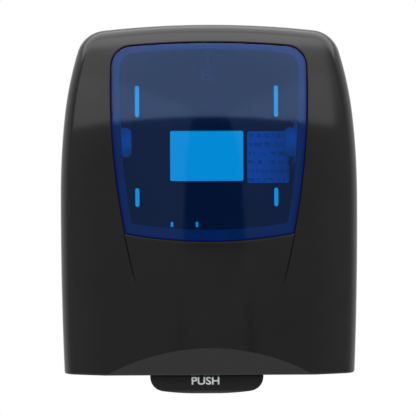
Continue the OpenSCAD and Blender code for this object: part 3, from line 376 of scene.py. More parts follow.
def ring_faces(rows: int, count: int, closed: bool) -> list[tuple[int, int, int, int]]:
    """Faces between rows of points that each close on themselves.

    Args:
        rows: number of rows.
        count: points in a row.
        closed: whether the last row joins the first.

    Returns:
        The four-cornered faces, outwards.
    """
    faces = []
    for k in range(rows if closed else rows - 1):
        a, b = k * count, ((k + 1) % rows) * count
        faces += [(a + i, a + (i + 1) % count, b + (i + 1) % count, b + i) for i in range(count)]
    return faces


def ring_object(name: str, rows: Sequence[Sequence[Point3]]) -> Object:
    """Makes a closed ring from rows of points in millimetres, the last joined to the first."""
    return mesh_object(name, [p for row in rows for p in row], ring_faces(len(rows), len(rows[0]), True))


def smooth(obj: Object, edge: Edge) -> None:
    """Shades a mesh smooth between its crisp edges."""
    obj.data.shade_smooth()
    obj.data.set_sharp_from_angle(angle=math.radians(edge.value))


@contextmanager
def opened(mesh: Mesh) -> Iterator[BMesh]:
    """Opens a mesh for editing and writes it back at the end.

    Args:
        mesh: the mesh.

    Returns:
        The mesh's shape, to be changed under a with statement.
    """
    shape = bmesh.new()
    shape.from_mesh(mesh)
    yield shape
    shape.to_mesh(mesh)
    shape.free()


def slice_level(shape: BMesh, level: float) -> None:
    """Adds a line of points where a level plane meets a shape, in the shape's own units."""
    everything = [*shape.verts, *shape.edges, *shape.faces]
    bmesh.ops.bisect_plane(shape, geom=everything, plane_co=(0, 0, level), plane_no=(0, 0, 1))


def face_outwards(obj: Object) -> Object:
    """Turns the faces of a closed mesh outwards.

    Args:
        obj: the mesh object.

    Returns:
        The same object.
    """
    with opened(obj.data) as shape:
        bmesh.ops.recalc_face_normals(shape, faces=shape.faces)
    return obj


def prism(name: str, outline: Sequence[Point], place: Callable[[Point, int], Point3]) -> Object:
    """Makes a straight bar from an outline.

    Args:
        name: name of the piece.
        outline: corners of the section, counter-clockwise.
        place: gives the point in millimetres of a corner at end 0 or 1.

    Returns:
        The closed bar.
    """
    n = len(outline)
    points = [place(p, end) for end in (0, 1) for p in outline]
    faces: list[Sequence[int]] = list(ring_faces(2, n, False))
    faces += [tuple(reversed(range(n))), tuple(range(n, 2 * n))]
    return face_outwards(mesh_object(name, points, faces))


def carved(obj: Object, cutter: Object) -> Object:
    """Cuts a closed mesh with another and throws the cutter away.

    Args:
        obj: mesh that is cut.
        cutter: mesh that cuts.

    Returns:
        The cut object.
    """
    cut = obj.modifiers.new("cut", "BOOLEAN")
    cut.operation, cut.solver, cut.object = "DIFFERENCE", "EXACT", cutter
    graph = bpy.context.evaluated_depsgraph_get()
    made = bpy.data.meshes.new_from_object(obj.evaluated_get(graph))
    obj.modifiers.clear()
    old, obj.data = obj.data, made
    bpy.data.meshes.remove(old)
    bpy.data.objects.remove(cutter)
    return obj


def aim_at(obj: Object, place: Point3, aim: Point3, roll: float) -> None:
    """Puts a lamp or the camera in its place and turns it to what it looks at.

    Args:
        obj: the lamp or camera.
        place: its place in metres.
        aim: the point that it looks at.
        roll: turn about its own line of sight, in degrees.
    """
    look = (Vector(aim) - Vector(place)).to_track_quat("-Z", "Y")
    obj.location = place
    obj.rotation_euler = (look @ Quaternion((0, 0, 1), math.radians(roll))).to_euler()


# Finishes


def linear(code: str) -> tuple[float, float, float, float]:
    """Turns an sRGB hex colour into linear light.

    Args:
        code: six hex digits.

    Returns:
        Linear red, green, blue and an alpha of 1.
    """
    parts = [int(code[i:i + 2], 16) / 255 for i in (0, 2, 4)]
    light = [c / 12.92 if c <= 0.04045 else ((c + 0.055) / 1.055) ** 2.4 for c in parts]
    return light[0], light[1], light[2], 1.0


def add_node(
    tree: NodeTree,
    kind: str,
    values: dict[str | int, object] | None = None,
    links: dict[str | int, NodeSocket] | None = None,
    **settings: object,
) -> Node:
    """Adds a shader node with its settings, values and links.

    Args:
        tree: node tree that gets the node.
        kind: Blender's name of the node type, without its ShaderNode.
        values: constant values by input name or number.
        links: output sockets by the name or number of the input that they feed.
        settings: properties of the node.

    Returns:
        The new node.
    """
    node = tree.nodes.new("ShaderNode" + kind)
    for name, value in settings.items():
        setattr(node, name, value)
    for key, value in (values or {}).items():
        node.inputs[key].default_value = value
    for key, socket in (links or {}).items():
        tree.links.new(socket, node.inputs[key])
    return node


def noise_range(low: float, high: float) -> dict[str, float]:
    """Values that make a Map Range node carry a noise to a range of its own."""
    return {"From Min": NOISE_LOW, "From Max": NOISE_HIGH, "To Min": low, "To Max": high}


@dataclass(frozen=True)
class Grain:
    """A pattern of grains or marks of a real size, longer along an axis where it is stretched."""

    size_mm: float
    octaves: float
    stretch: Point3 = (1, 1, 1)

    def value(self, tree: NodeTree) -> NodeSocket:
        """Adds the pattern to a node tree.

        Args:
            tree: the node tree.

        Returns:
            The pattern's value.
        """
        place = add_node(tree, "TexCoord").outputs["Object"]
        scale = add_node(tree, "Mapping", {"Scale": [1 / s for s in self.stretch]}, {"Vector": place})
        values = {"Scale": 1 / (self.size_mm * MM), "Detail": self.octaves}
        return add_node(tree, "TexNoise", values, {"Vector": scale.outputs[0]}).outputs["Fac"]


@dataclass(frozen=True)
class Finish:
    """A surface as the eye sees it. Each kind of finish says how its surface is built."""

    name: str
    slot: str

    def surface(self, tree: NodeTree) -> NodeSocket:
        """Adds the nodes of the surface to an empty tree and gives the shader's output."""
        raise NotImplementedError

    def material(self) -> Material:
        """Gives the finish's material, built once.

        Returns:
            The material.
        """
        made = bpy.data.materials.get(self.name)
        if made is None:
            made = bpy.data.materials.new(self.name)
            made.use_nodes = True
            tree = made.node_tree
            tree.nodes.clear()
            add_node(tree, "OutputMaterial", None, {"Surface": self.surface(tree)})
        return made

    def dress(self, obj: Object) -> Object:
        """Gives the finish to a piece.

        Args:
            obj: the piece.

        Returns:
            The same piece.
        """
        obj.data.materials.clear()
        obj.data.materials.append(self.material())
        return obj


@dataclass(frozen=True)
class Moulding(Finish):
    """Moulded plastic or rubber: one colour, a fine grain and a sheen that varies slightly.

    The grain has its real size. That is too fine to show from the photograph's distance, where it
    only softens the sheen, as on the real pieces.
    """

    colour: str
    shade: str
    roughness: float
    sheen_shift: float = 0.03
    grain_mm: float = 0.5
    grain_um: float = 3.0
    flow_mm: float = 45.0
    specular: float = 0.5

    def surface(self, tree: NodeTree) -> NodeSocket:
        """Adds the nodes of the surface.

        Args:
            tree: the empty tree.

        Returns:
            The shader's output.
        """
        flow = {"Value": Grain(self.flow_mm, octaves=2.0).value(tree)}
        grain = {"Height": Grain(self.grain_mm, octaves=1.0).value(tree)}
        share = add_node(tree, "MapRange", noise_range(0.0, 1.0), flow)
        colours = {MIX_A: linear(self.colour), MIX_B: linear(self.shade)}
        tone = add_node(tree, "Mix", colours, {MIX_SHARE: share.outputs[0]}, data_type="RGBA")
        bump = add_node(tree, "Bump", {"Strength": 1.0, "Distance": self.grain_um * UM}, grain)
        sheens = noise_range(self.roughness - self.sheen_shift, self.roughness + self.sheen_shift)
        sheen = add_node(tree, "MapRange", sheens, flow)
        skin = add_node(
            tree,
            "BsdfPrincipled",
            {"Specular IOR Level": self.specular},
            {
                "Base Color": tone.outputs[MIX_RESULT],
                "Roughness": sheen.outputs[0],
                "Normal": bump.outputs[0],
            },
        )
        return skin.outputs[0]


@dataclass(frozen=True)
class Metal(Finish):
    """Bare or plated metal: a bright reflection broken up by fine marks along its length.

    Real marks are finer than 0.1 mm. They are drawn coarser so that they show.
    """

    colour: str
    roughness: float
    sheen_share: float = 0.2
    mark_mm: float = 0.25
    mark_um: float = 2.0
    stretch: Point3 = (30, 1, 1)

    def surface(self, tree: NodeTree) -> NodeSocket:
        """Adds the nodes of the surface.

        Args:
            tree: the empty tree.

        Returns:
            The shader's output.
        """
        marks = Grain(self.mark_mm, octaves=3.0, stretch=self.stretch).value(tree)
        relief = {"Strength": 1.0, "Distance": self.mark_um * UM}
        bump = add_node(tree, "Bump", relief, {"Height": marks})
        low, high = self.roughness * (1 - self.sheen_share), self.roughness * (1 + self.sheen_share)
        sheen = add_node(tree, "MapRange", noise_range(low, high), {"Value": marks})
        skin = add_node(
            tree,
            "BsdfPrincipled",
            {"Base Color": linear(self.colour), "Metallic": 1.0},
            {"Roughness": sheen.outputs[0], "Normal": bump.outputs[0]},
        )
        return skin.outputs[0]


@dataclass(frozen=True)
class TintedPane(Finish):
    """Clear tinted sheet: each face lets tinted light through and mirrors a little of the room."""

    through: str
    cloud: str
    sheen: str
    roughness: float
    cloudiness: float = 0.012
    ior: float = 1.5
    ripple_mm: float = 90.0
    ripple_um: float = 4.0

    def surface(self, tree: NodeTree) -> NodeSocket:
        """Adds the nodes of the surface.

        Args:
            tree: the empty tree.

        Returns:
            The shader's output.
        """
        ripple = {"Height": Grain(self.ripple_mm, octaves=0.0).value(tree)}
        bump = add_node(tree, "Bump", {"Strength": 1.0, "Distance": self.ripple_um * UM}, ripple)
        normal = {"Normal": bump.outputs[0]}
        inside = {"Value": add_node(tree, "NewGeometry").outputs["Backfacing"]}
        # A face seen from inside takes the inverse, so that it never mirrors all of the light
        ior = add_node(tree, "MapRange", {"To Min": self.ior, "To Max": 1 / self.ior}, inside)
        share = add_node(tree, "Fresnel", None, {"IOR": ior.outputs[0], **normal})
        clear = add_node(tree, "BsdfTransparent", {"Color": linear(self.through)})
        haze = add_node(tree, "BsdfDiffuse", {"Color": linear(self.cloud)})
        layers = {1: clear.outputs[0], 2: haze.outputs[0]}
        body = add_node(tree, "MixShader", {0: self.cloudiness}, layers)
        gloss = {"Color": linear(self.sheen), "Roughness": self.roughness}
        mirror = add_node(tree, "BsdfGlossy", gloss, normal)
        layers = {0: share.outputs[0], 1: body.outputs[0], 2: mirror.outputs[0]}
        return add_node(tree, "MixShader", None, layers).outputs[0]


@dataclass(frozen=True)
class MattSheet(Finish):
    """Matt paper or vinyl of two colours. Each kind of sheet says where the second one shows."""

    ground: str
    second: str
    roughness: float

    def share(self, tree: NodeTree) -> NodeSocket:
        """Adds the nodes that say where the second colour shows and gives their output."""
        raise NotImplementedError

    def surface(self, tree: NodeTree) -> NodeSocket:
        """Adds the nodes of the surface.

        Args:
            tree: the empty tree.

        Returns:
            The shader's output.
        """
        colours = {MIX_A: linear(self.ground), MIX_B: linear(self.second)}
        tone = add_node(tree, "Mix", colours, {MIX_SHARE: self.share(tree)}, data_type="RGBA")
        base = {"Base Color": tone.outputs[MIX_RESULT]}
        return add_node(tree, "BsdfPrincipled", {"Roughness": self.roughness}, base).outputs[0]


@dataclass(frozen=True)
class StudioPaper(MattSheet):
    """Paper of the studio floor: its second, paler colour is the one that the camera sees."""

    def share(self, tree: NodeTree) -> NodeSocket:
        """Adds the node that tells the camera's rays apart and gives its output."""
        return add_node(tree, "LightPath").outputs["Is Camera Ray"]


@dataclass(frozen=True)
class PrintedVinyl(MattSheet):
    """Sticker with faint rows of printed strokes in its second colour, too small to read."""

    row_mm: float = 5.5
    blank_share: float = 0.55
    stroke_mm: float = 2.2
    stroke_stretch: Point3 = (1.0, 1.0, 2.5)
    stroke_cut: float = 0.52

    def share(self, tree: NodeTree) -> NodeSocket:
        """Adds the nodes of the printed rows.

        Args:
            tree: the sheet's tree.

        Returns:
            1 on a stroke and 0 beside it.
        """
        pitch = self.row_mm * MM
        place = add_node(tree, "TexCoord").outputs["Object"]
        height = {0: add_node(tree, "SeparateXYZ", None, {0: place}).outputs["Z"]}
        row = {0: add_node(tree, "Math", {1: pitch}, height, operation="PINGPONG").outputs[0]}
        in_row = add_node(tree, "Math", {1: pitch * self.blank_share}, row, operation="GREATER_THAN")
        grain = Grain(self.stroke_mm, octaves=1.0, stretch=self.stroke_stretch)
        strokes = {0: grain.value(tree)}
        mark = add_node(tree, "Math", {1: self.stroke_cut}, strokes, operation="GREATER_THAN")
        both = {0: in_row.outputs[0], 1: mark.outputs[0]}
        return add_node(tree, "Math", None, both, operation="MULTIPLY").outputs[0]


# Black ABS with a satin gloss: soft-edged reflections of the lamps over a near-black body
COVER_ABS = Moulding(
    "black_abs_satin_gloss", "cover_black", "1b1b1c", "19191a", 0.12,
    sheen_shift=0.01, grain_mm=0.6, grain_um=1.0,
)
# The same plastic with a duller skin: an even near-black that hardly mirrors
PADDLE_ABS = Moulding(
    "black_abs_paddle", "lever_black", "252526", "222223", 0.3,
    sheen_shift=0.01, grain_mm=0.6, grain_um=1.0, specular=0.08,
)
# Black styrene with a fine matt grain: takes the light evenly and shows no sharp reflection
PLATE_STYRENE = Moulding(
    "black_styrene_matt", "plate_black", "1a1a1b", "171718", 0.45, grain_mm=0.8, grain_um=8.0
)
# Dark blue clear styrene: deep ultramarine over the dark inside, bright blue over daylight
WINDOW_STYRENE = TintedPane(
    "blue_clear_styrene", "window_blue", "21caf9", "0a84ff", "d4e2ff", 0.08, ior=1.64
)
# The pane's cut edge gathers light and shows as a deep blue line, kept off the top edge as painted shade
WINDOW_EDGE = Moulding(
    "blue_styrene_edge", "window_blue", "041464", "05166c", 0.25, grain_um=1.0, specular=0.1
)
# Grey foam tape behind the pane's border: the lighter band round the window
BOND_TAPE = Moulding("foam_bond_tape", "bond_tape", "484c52", "42464c", 0.7, grain_mm=0.4, grain_um=20.0)
# Brushed stainless steel: a bright reflection streaked along its length
STEEL = Metal("bright_steel", "steel", "c8c9cc", 0.26)
# Plated die-cast zinc: duller and greyer than the steel
ZINC = Metal("plated_zinc", "zinc", "a9aaad", 0.38, mark_mm=0.5, stretch=(1, 1, 1))
# Natural acetal, moulded: milky off-white with a waxy sheen
ACETAL = Moulding("natural_acetal", "acetal", "dcdbd4", "d2d1ca", 0.38, grain_um=2.0)
# Moulded ABS of the hubs and the knob: pale grey with a soft sheen
PALE_ABS = Moulding("pale_grey_abs", "pale_plastic", "e2e2de", "dadad6", 0.42, grain_um=5.0)
# Moulded rubber of the rollers: dark grey and matt
GRIP_RUBBER = Moulding(
    "moulded_rubber", "grip_rubber", "303030", "282828", 0.72, grain_mm=0.7, grain_um=20.0
)
# Printed vinyl of the loading label: white with small pale rows
LABEL_VINYL = PrintedVinyl("printed_vinyl_label", "label_vinyl", "f2f4f6", "b4bcc6", 0.45)
# Silver pad printing of the control legend: light grey, a little glossy
LEGEND_INK = Moulding("silver_pad_print", "lever_black", "d6dbdd", "ced3d5", 0.4, grain_um=1.0)
# Matt studio paper below the dispenser: pale and plain
FLOOR_PAPER = StudioPaper("pale_studio_paper", "", "a4a4a2", "dcdcda", 0.6)

BY_SLOT: dict[str, Finish] = {
    f.slot: f
    for f in (
        COVER_ABS, PADDLE_ABS, PLATE_STYRENE, WINDOW_STYRENE, BOND_TAPE,
        STEEL, ZINC, ACETAL, PALE_ABS, GRIP_RUBBER, LABEL_VINYL,
    )
}


# Sub-assemblies


@dataclass
class Window:
    """Tinted pane and the tape that bonds it to the cover's ledge. Sizes in millimetres."""

    pane_t: float = 3.0
    pane_gap: float = 1.2
    pane_edge_r: float = 1.3
    pane_rings: int = 14
    # Edge faces that look up more than this keep the pane's own finish, a painted shade that leaves the
    # deep blue line off the top edge where the overhead lamps light it
    edge_rise: float = 0.2
    # Faces nearer than this to the front's own direction are the pane's two broad ones
    face_cosine: float = 0.97
    tape_t: float = 0.8
    tape_inset: float = 0.6
    tape_gap: float = 0.05
    ledge_w: float = 10.4
    ledge_top_w: float = 8.6
    ledge_base_w: float = 14.0
    ledge_foot_r: float = 6.0
    skin: FrontSkin = FRONT
    opening: WindowOutline = OPENING

    @property
    def recess(self) -> float:
        """Depth of the ledge behind the front."""
        return self.pane_t + self.tape_t

    def aperture(self) -> WindowOutline:
        """Outline of the hole inside the ledge.

        Returns:
            The hole's outline.
        """
        o = self.opening
        return WindowOutline(
            half_w=o.half_w - self.ledge_w,
            top_z=o.top_z - self.ledge_top_w,
            base_z=o.base_z + self.ledge_base_w,
            corner_r=o.corner_r - self.ledge_w / 2,
            foot_r=self.ledge_foot_r,
        )

    def polish(self, obj: Object) -> None:
        """Shades a pane's two faces with the front skin's own normals, free of the mesh's pattern.

        Args:
            obj: the pane.
        """
        mesh = obj.data
        normals = [Vector(n.vector) for n in mesh.corner_normals]
        for poly in mesh.polygons:
            for k in poly.loop_indices:
                x, _, z = mesh.vertices[mesh.loops[k].vertex_index].co / MM
                slope = max(0.0, z - self.skin.lean_z) / self.skin.lean_r
                true = Vector((x / self.skin.bulge_r, -1.0, slope)).normalized()
                if abs(poly.normal.dot(true)) > self.face_cosine:
                    normals[k] = math.copysign(1, poly.normal.dot(true)) * true
        mesh.normals_split_custom_set(normals)

    def build_pane(self) -> Object:
        """Builds and dresses the pane, with its cut edge in a finish of its own.

        Returns:
            The pane.
        """
        edge, r = self.opening.loop(-self.pane_gap), self.pane_edge_r
        middle = (0.0, (self.opening.top_z + self.opening.base_z) / 2)
        inner = self.opening.loop(-self.pane_gap - r)
        shares = [k / self.pane_rings for k in range(1, self.pane_rings)]
        rings = [[mix_point(middle, p, t) for p in inner] for t in shares] + [inner]
        rows = [self.skin.lay(loop, self.pane_t) for loop in rings]
        rows += [self.skin.lay(edge, d) for d in (self.pane_t, r)]
        for inset, sunk in reversed(ROUNDING):
            rows.append(self.skin.lay(self.opening.loop(-self.pane_gap - inset * r), sunk * r))
        rows += [self.skin.lay(loop, 0.0) for loop in reversed(rings)]
        count, last = len(edge), (len(rows) - 1) * len(edge)
        points = [p for row in rows for p in row]
        points += [self.skin.lay([middle], d)[0] for d in (self.pane_t, 0.0)]
        rear, front = len(points) - 2, len(points) - 1
        faces: list[Sequence[int]] = list(ring_faces(len(rows), count, False))
        faces += [(rear, (i + 1) % count, i) for i in range(count)]
        faces += [(front, last + i, last + (i + 1) % count) for i in range(count)]
        obj = mesh_object("window_pane", points, faces)
        smooth(obj, Edge.MOULDED)
        self.polish(obj)
        WINDOW_STYRENE.dress(obj)
        obj.data.materials.append(WINDOW_EDGE.material())
        # Painted shade: only edge faces that don't look up get the deep blue edge finish
        for poly in obj.data.polygons:
            at_edge = len(rings) - 1 <= poly.index // count < len(rows) - len(rings)
            poly.material_index = int(at_edge and poly.normal.z < self.edge_rise)
        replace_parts(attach(obj, Body.COVER.value), "window")
        return obj

    def build_tape(self) -> Object:
        """Builds and dresses the bonding tape on the ledge.

        Returns:
            The tape.
        """
        pane, hole = self.opening.loop(-self.pane_gap), self.aperture().loop(0.0)
        t = self.tape_inset / self.ledge_w
        rows = self.skin.lay_between(pane, hole, (t, 1 - t), self.pane_t + self.tape_gap)
        rows += self.skin.lay_between(pane, hole, (1 - t, t), self.recess - self.tape_gap)
        obj = ring_object("window_bond_tape", rows)
        smooth(obj, Edge.MOULDED)
        BOND_TAPE.dress(obj)
        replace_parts(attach(obj, Body.COVER.value), "window_tape")
        return obj


@dataclass
class CoverShell:
    """Moulded shell of the hinged front cover. Sizes in millimetres.

    Shares say how far rows of points lie from one loop to the next.
    """

    wall: float = 3.0
    shoulder: float = 11.0
    shoulder_steps: int = 12
    draft: float = 2.0
    rear_edge_d: float = 20.0
    side_shares: Shares = (0.0, 0.3, 0.6, 0.85)
    flank_shares: Shares = (0.15, 0.32, 0.5, 0.68, 0.85)
    panel_shares: Shares = (0.0, 0.02, 0.12, 0.25, 0.4, 0.55, 0.7, 0.85, 0.95, 1.0)
    inside_shares: Shares = (0.35, 0.7, 0.97, 1.0)
    # The loop between flank and panel, which is pulled down to the scoop's edge along the bottom
    edge_share: float = 0.3
    edge_below: float = 8.0
    pull_steps: int = 18
    # The window's rounded rim and the ledge behind it
    rim_r: float = 0.6
    ledge_t: float = 2.2
    ledge_root: float = 2.5
    # The hinge corner's rounding ends at this angle in radians, just below the pins
    hinge_r: float = 14.0
    corner_end: float = -0.03
    corner_drop: float = 0.4
    corner_steps: int = 24
    # The tool that cuts the bottom off reaches well past the shell
    cut_front_y: float = -400.0
    cut_rear_y: float = 60.0
    cut_low_z: float = -420.0
    cut_half_w: float = 250.0
    lock_d: float = 64.0
    lock_r: float = 9.5
    lock_steps: int = 64
    lock_cut: float = 20.0
    # The creases are drawn deeper than in the solid, so that they show at the picture's size
    crease_len: float = 54.0
    crease_lap: float = 9.0
    crease_w: float = 2.0
    crease_end_share: float = 0.45
    crease_sunk: float = 2.0
    crease_end_sunk: float = 0.02
    crease_proud: float = 1.5
    crease_steps: int = 8
    crease_fade: int = 6
    # Rounding of the cut foot, and the heights of its rows as shares of the radius
    base_r: float = 2.3
    base_rises: Shares = (-1.0, 0.0, 0.03, 0.13, 0.3, 0.55, 0.8, 1.0)
    # Depth of the shell's middle, which tells its outer skin from its inner one
    middle_d: float = 110.0
    skin: FrontSkin = FRONT
    opening: WindowOutline = OPENING
    outline: CoverOutline = field(default_factory=CoverOutline)
    window: Window = field(default_factory=Window)

    @property
    def hinge(self) -> Point:
        """Y and height of the hinge pins."""
        return -self.rear_edge_d - self.hinge_r, self.skin.base_z + self.hinge_r

    def rear_row(self, out: float) -> list[Point3]:
        """Row on the shell's rear edge, a distance outside the shoulder line."""
        return [(x, -self.rear_edge_d, z) for x, z in self.outline.loop(out)]

    def edge_loop(self) -> list[Point]:
        """Loop between shoulder and window that follows the scoop's edge along the bottom.

        Returns:
            The closed loop.
        """
        outer, inner = self.outline.loop(-self.shoulder), self.opening.loop(self.rim_r)
        bottom, count = self.outline.steps.bottom, len(outer)
        low = self.skin.base_z - self.edge_below
        made = []
        for i, (a, b) in enumerate(zip(outer, inner)):
            x, z = mix_point(a, b, self.edge_share)
            past = max(0, min(i, count - i) - bottom + 1)
            pull = max(0.0, 1 - past / self.pull_steps) ** 2
            scoop = max(low, self.skin.scoop_edge(x)) if past == 0 else low
            made.append((x, mix(z, scoop, pull)))
        return made

    def shoulder_rows(self, wall: float) -> list[list[Point3]]:
        """Rows round the shoulder, from the wall to the front.

        Args:
            wall: distance inside the outer skin.

        Returns:
            The rows in millimetres.
        """
        rows = []
        r = self.shoulder - wall
        for k in range(self.shoulder_steps + 1):
            a = math.pi / 2 * k / self.shoulder_steps
            loop = self.outline.loop(-wall - r * (1 - math.cos(a)))
            rows.append(self.skin.lay(loop, wall + r * (1 - math.sin(a))))
        return rows

    def rows(self) -> list[list[Point3]]:
        """Rows of the shell: out along the wall, over the front, through the ledge and back inside.

        Returns:
            The rows in millimetres.
        """
        lay, lay_between = self.skin.lay, self.skin.lay_between
        edge, root = self.edge_loop(), self.opening.loop(self.ledge_root)
        rim, hole = self.opening.loop(0.0), self.window.aperture().loop(0.0)
        recess = self.window.recess
        ledge = recess + self.ledge_t
        rear, outer = self.rear_row(self.draft), self.shoulder_rows(0.0)
        rows = [
            [tuple(mix(p, q, t) for p, q in zip(a, b)) for a, b in zip(rear, outer[0])]
            for t in self.side_shares
        ]
        rows += outer
        rows += lay_between(self.outline.loop(-self.shoulder), edge, self.flank_shares, 0.0)
        rows += lay_between(edge, self.opening.loop(self.rim_r), self.panel_shares, 0.0)
        rows += [lay(self.opening.loop(self.rim_r * out), self.rim_r * sunk) for out, sunk in ROUNDING]
        rows += [lay(rim, self.rim_r), lay(rim, recess), lay(hole, recess), lay(hole, ledge)]
        rows.append(lay(root, ledge))
        rows += lay_between(root, edge, self.inside_shares, self.wall)
        rows += reversed(self.shoulder_rows(self.wall))
        rows.append(self.rear_row(self.draft - self.wall))
        return rows

    def cutter(self) -> Object:
        """What is cut from the shell: all below the bottom edge and round the hinge corner.

        Returns:
            The cutting mesh.
        """
        corner = arc(self.hinge, self.hinge_r, -math.pi / 2, self.corner_end, self.corner_steps)
        section = [
            (self.cut_front_y, self.skin.base_z),
            *corner,
            (self.cut_rear_y, self.hinge[1] - self.corner_drop),
            (self.cut_rear_y, self.cut_low_z),
            (self.cut_front_y, self.cut_low_z),
        ]
        ends = (-self.cut_half_w, self.cut_half_w)
        return prism("cutter", section, lambda p, end: (ends[end], *p))

    def lock_hole(self) -> Object:
        """What is cut from the shell's top for the lock.

        Returns:
            The cutting mesh.
        """
        ring = arc((0.0, -self.lock_d), self.lock_r, 0.0, 2 * math.pi, self.lock_steps)
        ends = (self.outline.crown_z - self.lock_cut, self.outline.crown_z + self.lock_cut)
        return prism("hole", ring, lambda p, end: (*p, ends[end]))

    def crease(self, side: int) -> Object:
        """What is cut for the crease that runs on below a corner of the window and fades out.

        Args:
            side: 1 for the right, -1 for the left.

        Returns:
            The cutting mesh.
        """
        n, top = self.crease_steps, self.opening.base_z + self.crease_lap
        points: list[Point3] = []
        for k in range(n + 1):
            z = top - self.crease_len * k / n
            x, fade = self.opening.side_x(z), 1 - (k / n) ** self.crease_fade
            y = -self.skin.depth((x, z))
            half = self.crease_w / 2 * mix(self.crease_end_share, 1.0, fade)
            deep = self.crease_sunk * fade + self.crease_end_sunk
            for dx, dy in ((-half, -self.crease_proud), (half, -self.crease_proud), (0.0, deep)):
                points.append((side * (x + dx), y + dy, z))
        faces: list[Sequence[int]] = list(ring_faces(n + 1, 3, False))
        faces += [(2, 1, 0), tuple(range(3 * n, 3 * n + 3))]
        return face_outwards(mesh_object("crease", points, faces))

    def round_base(self, obj: Object) -> None:
        """Rounds the shell's outer skin inwards along the line where its bottom is cut.

        Args:
            obj: the shell before it is cut.
        """
        r, base = self.base_r, self.skin.base_z
        with opened(obj.data) as shape:
            for rise in self.base_rises:
                slice_level(shape, (base + r * rise) * MM)
            shape.normal_update()
            for v in shape.verts:
                up = min(r, max(0.0, v.co.z / MM - base))
                out = Vector((v.normal.x, v.normal.y, 0.0)).normalized()
                if out.dot(Vector((v.co.x, v.co.y + self.middle_d * MM, 0.0))) > 0:
                    v.co -= out * (r - math.sqrt(r * r - (r - up) ** 2)) * MM

    def build(self) -> Object:
        """Builds and dresses the shell.

        Returns:
            The shell.
        """
        obj = ring_object("cover_shell", self.rows())
        self.round_base(obj)
        for tool in (self.cutter(), self.lock_hole(), self.crease(1), self.crease(-1)):
            carved(obj, tool)
        smooth(obj, Edge.MOULDED)
        COVER_ABS.dress(obj)
        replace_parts(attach(obj, Body.COVER.value), "front_cover")
        return obj


@dataclass
class HingeEars:
    """Two ears inside the shell that turn on the hinge pins. Sizes in millimetres."""

    pins: Point
    inner_x: float = 149.0
    outer_x: float = 160.0
    radius: float = 10.0
    bore_r: float = 3.0
    steps: int = 32
    overrun: float = 1.0

    def build(self) -> list[Object]:
        """Builds and dresses the ears.

        Returns:
            The ears.
        """
        (y, z), r = self.pins, self.radius
        section = arc(self.pins, r, -math.pi, 0.0, self.steps)
        section += [(y + r, z), (y + r, z + r), (y - r, z + r)]
        bore = arc(self.pins, self.bore_r, 0.0, 2 * math.pi, self.steps)
        ends = (self.inner_x, self.outer_x)
        bore_ends = (self.inner_x - self.overrun, self.outer_x + self.overrun)
        ears = []
        for side, name in ((1, "hinge_ear_right"), (-1, "hinge_ear_left")):
            ear = prism(name, section, lambda p, end, s=side: (s * ends[end], *p))
            carved(ear, prism("bore", bore, lambda p, end, s=side: (s * bore_ends[end], *p)))
            smooth(ear, Edge.TURNED)
            COVER_ABS.dress(ear)
            ears.append(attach(ear, Body.COVER.value))
        return ears


@dataclass
class PaddleLegend:
    """Silver control legend printed on the paddle's face. Sizes in millimetres."""

    words: str = "PUSH"
    height: float = 8.6
    width: float = 30.4
    middle_x: float = -4.9
    middle_z: float = -262.0
    stroke: float = 0.02
    curve_steps: int = 6
    slices: int = 14
    weld: float = 0.01
    face_d: float = 202.0
    low_z: float = -277.8
    curl_r: float = 16.0
    lift: float = 0.12

    def face_depth(self, z: float) -> float:
        """Depth of the paddle's face in front of the wall at a height."""
        drop = max(0.0, self.low_z + self.curl_r - z)
        return self.face_d - self.curl_r + math.sqrt(max(0.0, self.curl_r**2 - drop * drop))

    def flat_words(self) -> Mesh:
        """Makes the words as a flat upright mesh of their real size.

        Returns:
            The mesh, in millimetres.
        """
        text = bpy.data.curves.new("legend_text", "FONT")
        text.body, text.align_x, text.align_y = self.words, "CENTER", "CENTER"
        text.resolution_u, text.offset = self.curve_steps, self.stroke
        source = link(bpy.data.objects.new("legend_text", text))
        graph = bpy.context.evaluated_depsgraph_get()
        mesh = bpy.data.meshes.new_from_object(source.evaluated_get(graph))
        bpy.data.objects.remove(source)
        bpy.data.curves.remove(text)
        xs, ys = [v.co.x for v in mesh.vertices], [v.co.y for v in mesh.vertices]
        sx, sz = self.width / (max(xs) - min(xs)), self.height / (max(ys) - min(ys))
        mid_x, mid_y = (max(xs) + min(xs)) / 2, (max(ys) + min(ys)) / 2
        for v in mesh.vertices:
            v.co = ((v.co.x - mid_x) * sx + self.middle_x, 0.0, (v.co.y - mid_y) * sz + self.middle_z)
        return mesh

    def build(self) -> Object:
        """Builds and dresses the legend, wrapped on the paddle's face.

        Returns:
            The legend.
        """
        mesh = self.flat_words()
        with opened(mesh) as shape:
            for k in range(1, self.slices):
                slice_level(shape, self.middle_z - self.height / 2 + self.height * k / self.slices)
            bmesh.ops.remove_doubles(shape, verts=shape.verts, dist=self.weld)
            for v in shape.verts:
                v.co = Vector((v.co.x, -self.face_depth(v.co.z) - self.lift, v.co.z)) * MM
        obj = link(bpy.data.objects.new("push_legend", mesh))
        LEGEND_INK.dress(obj)
        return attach(obj, Body.LEVER.value)


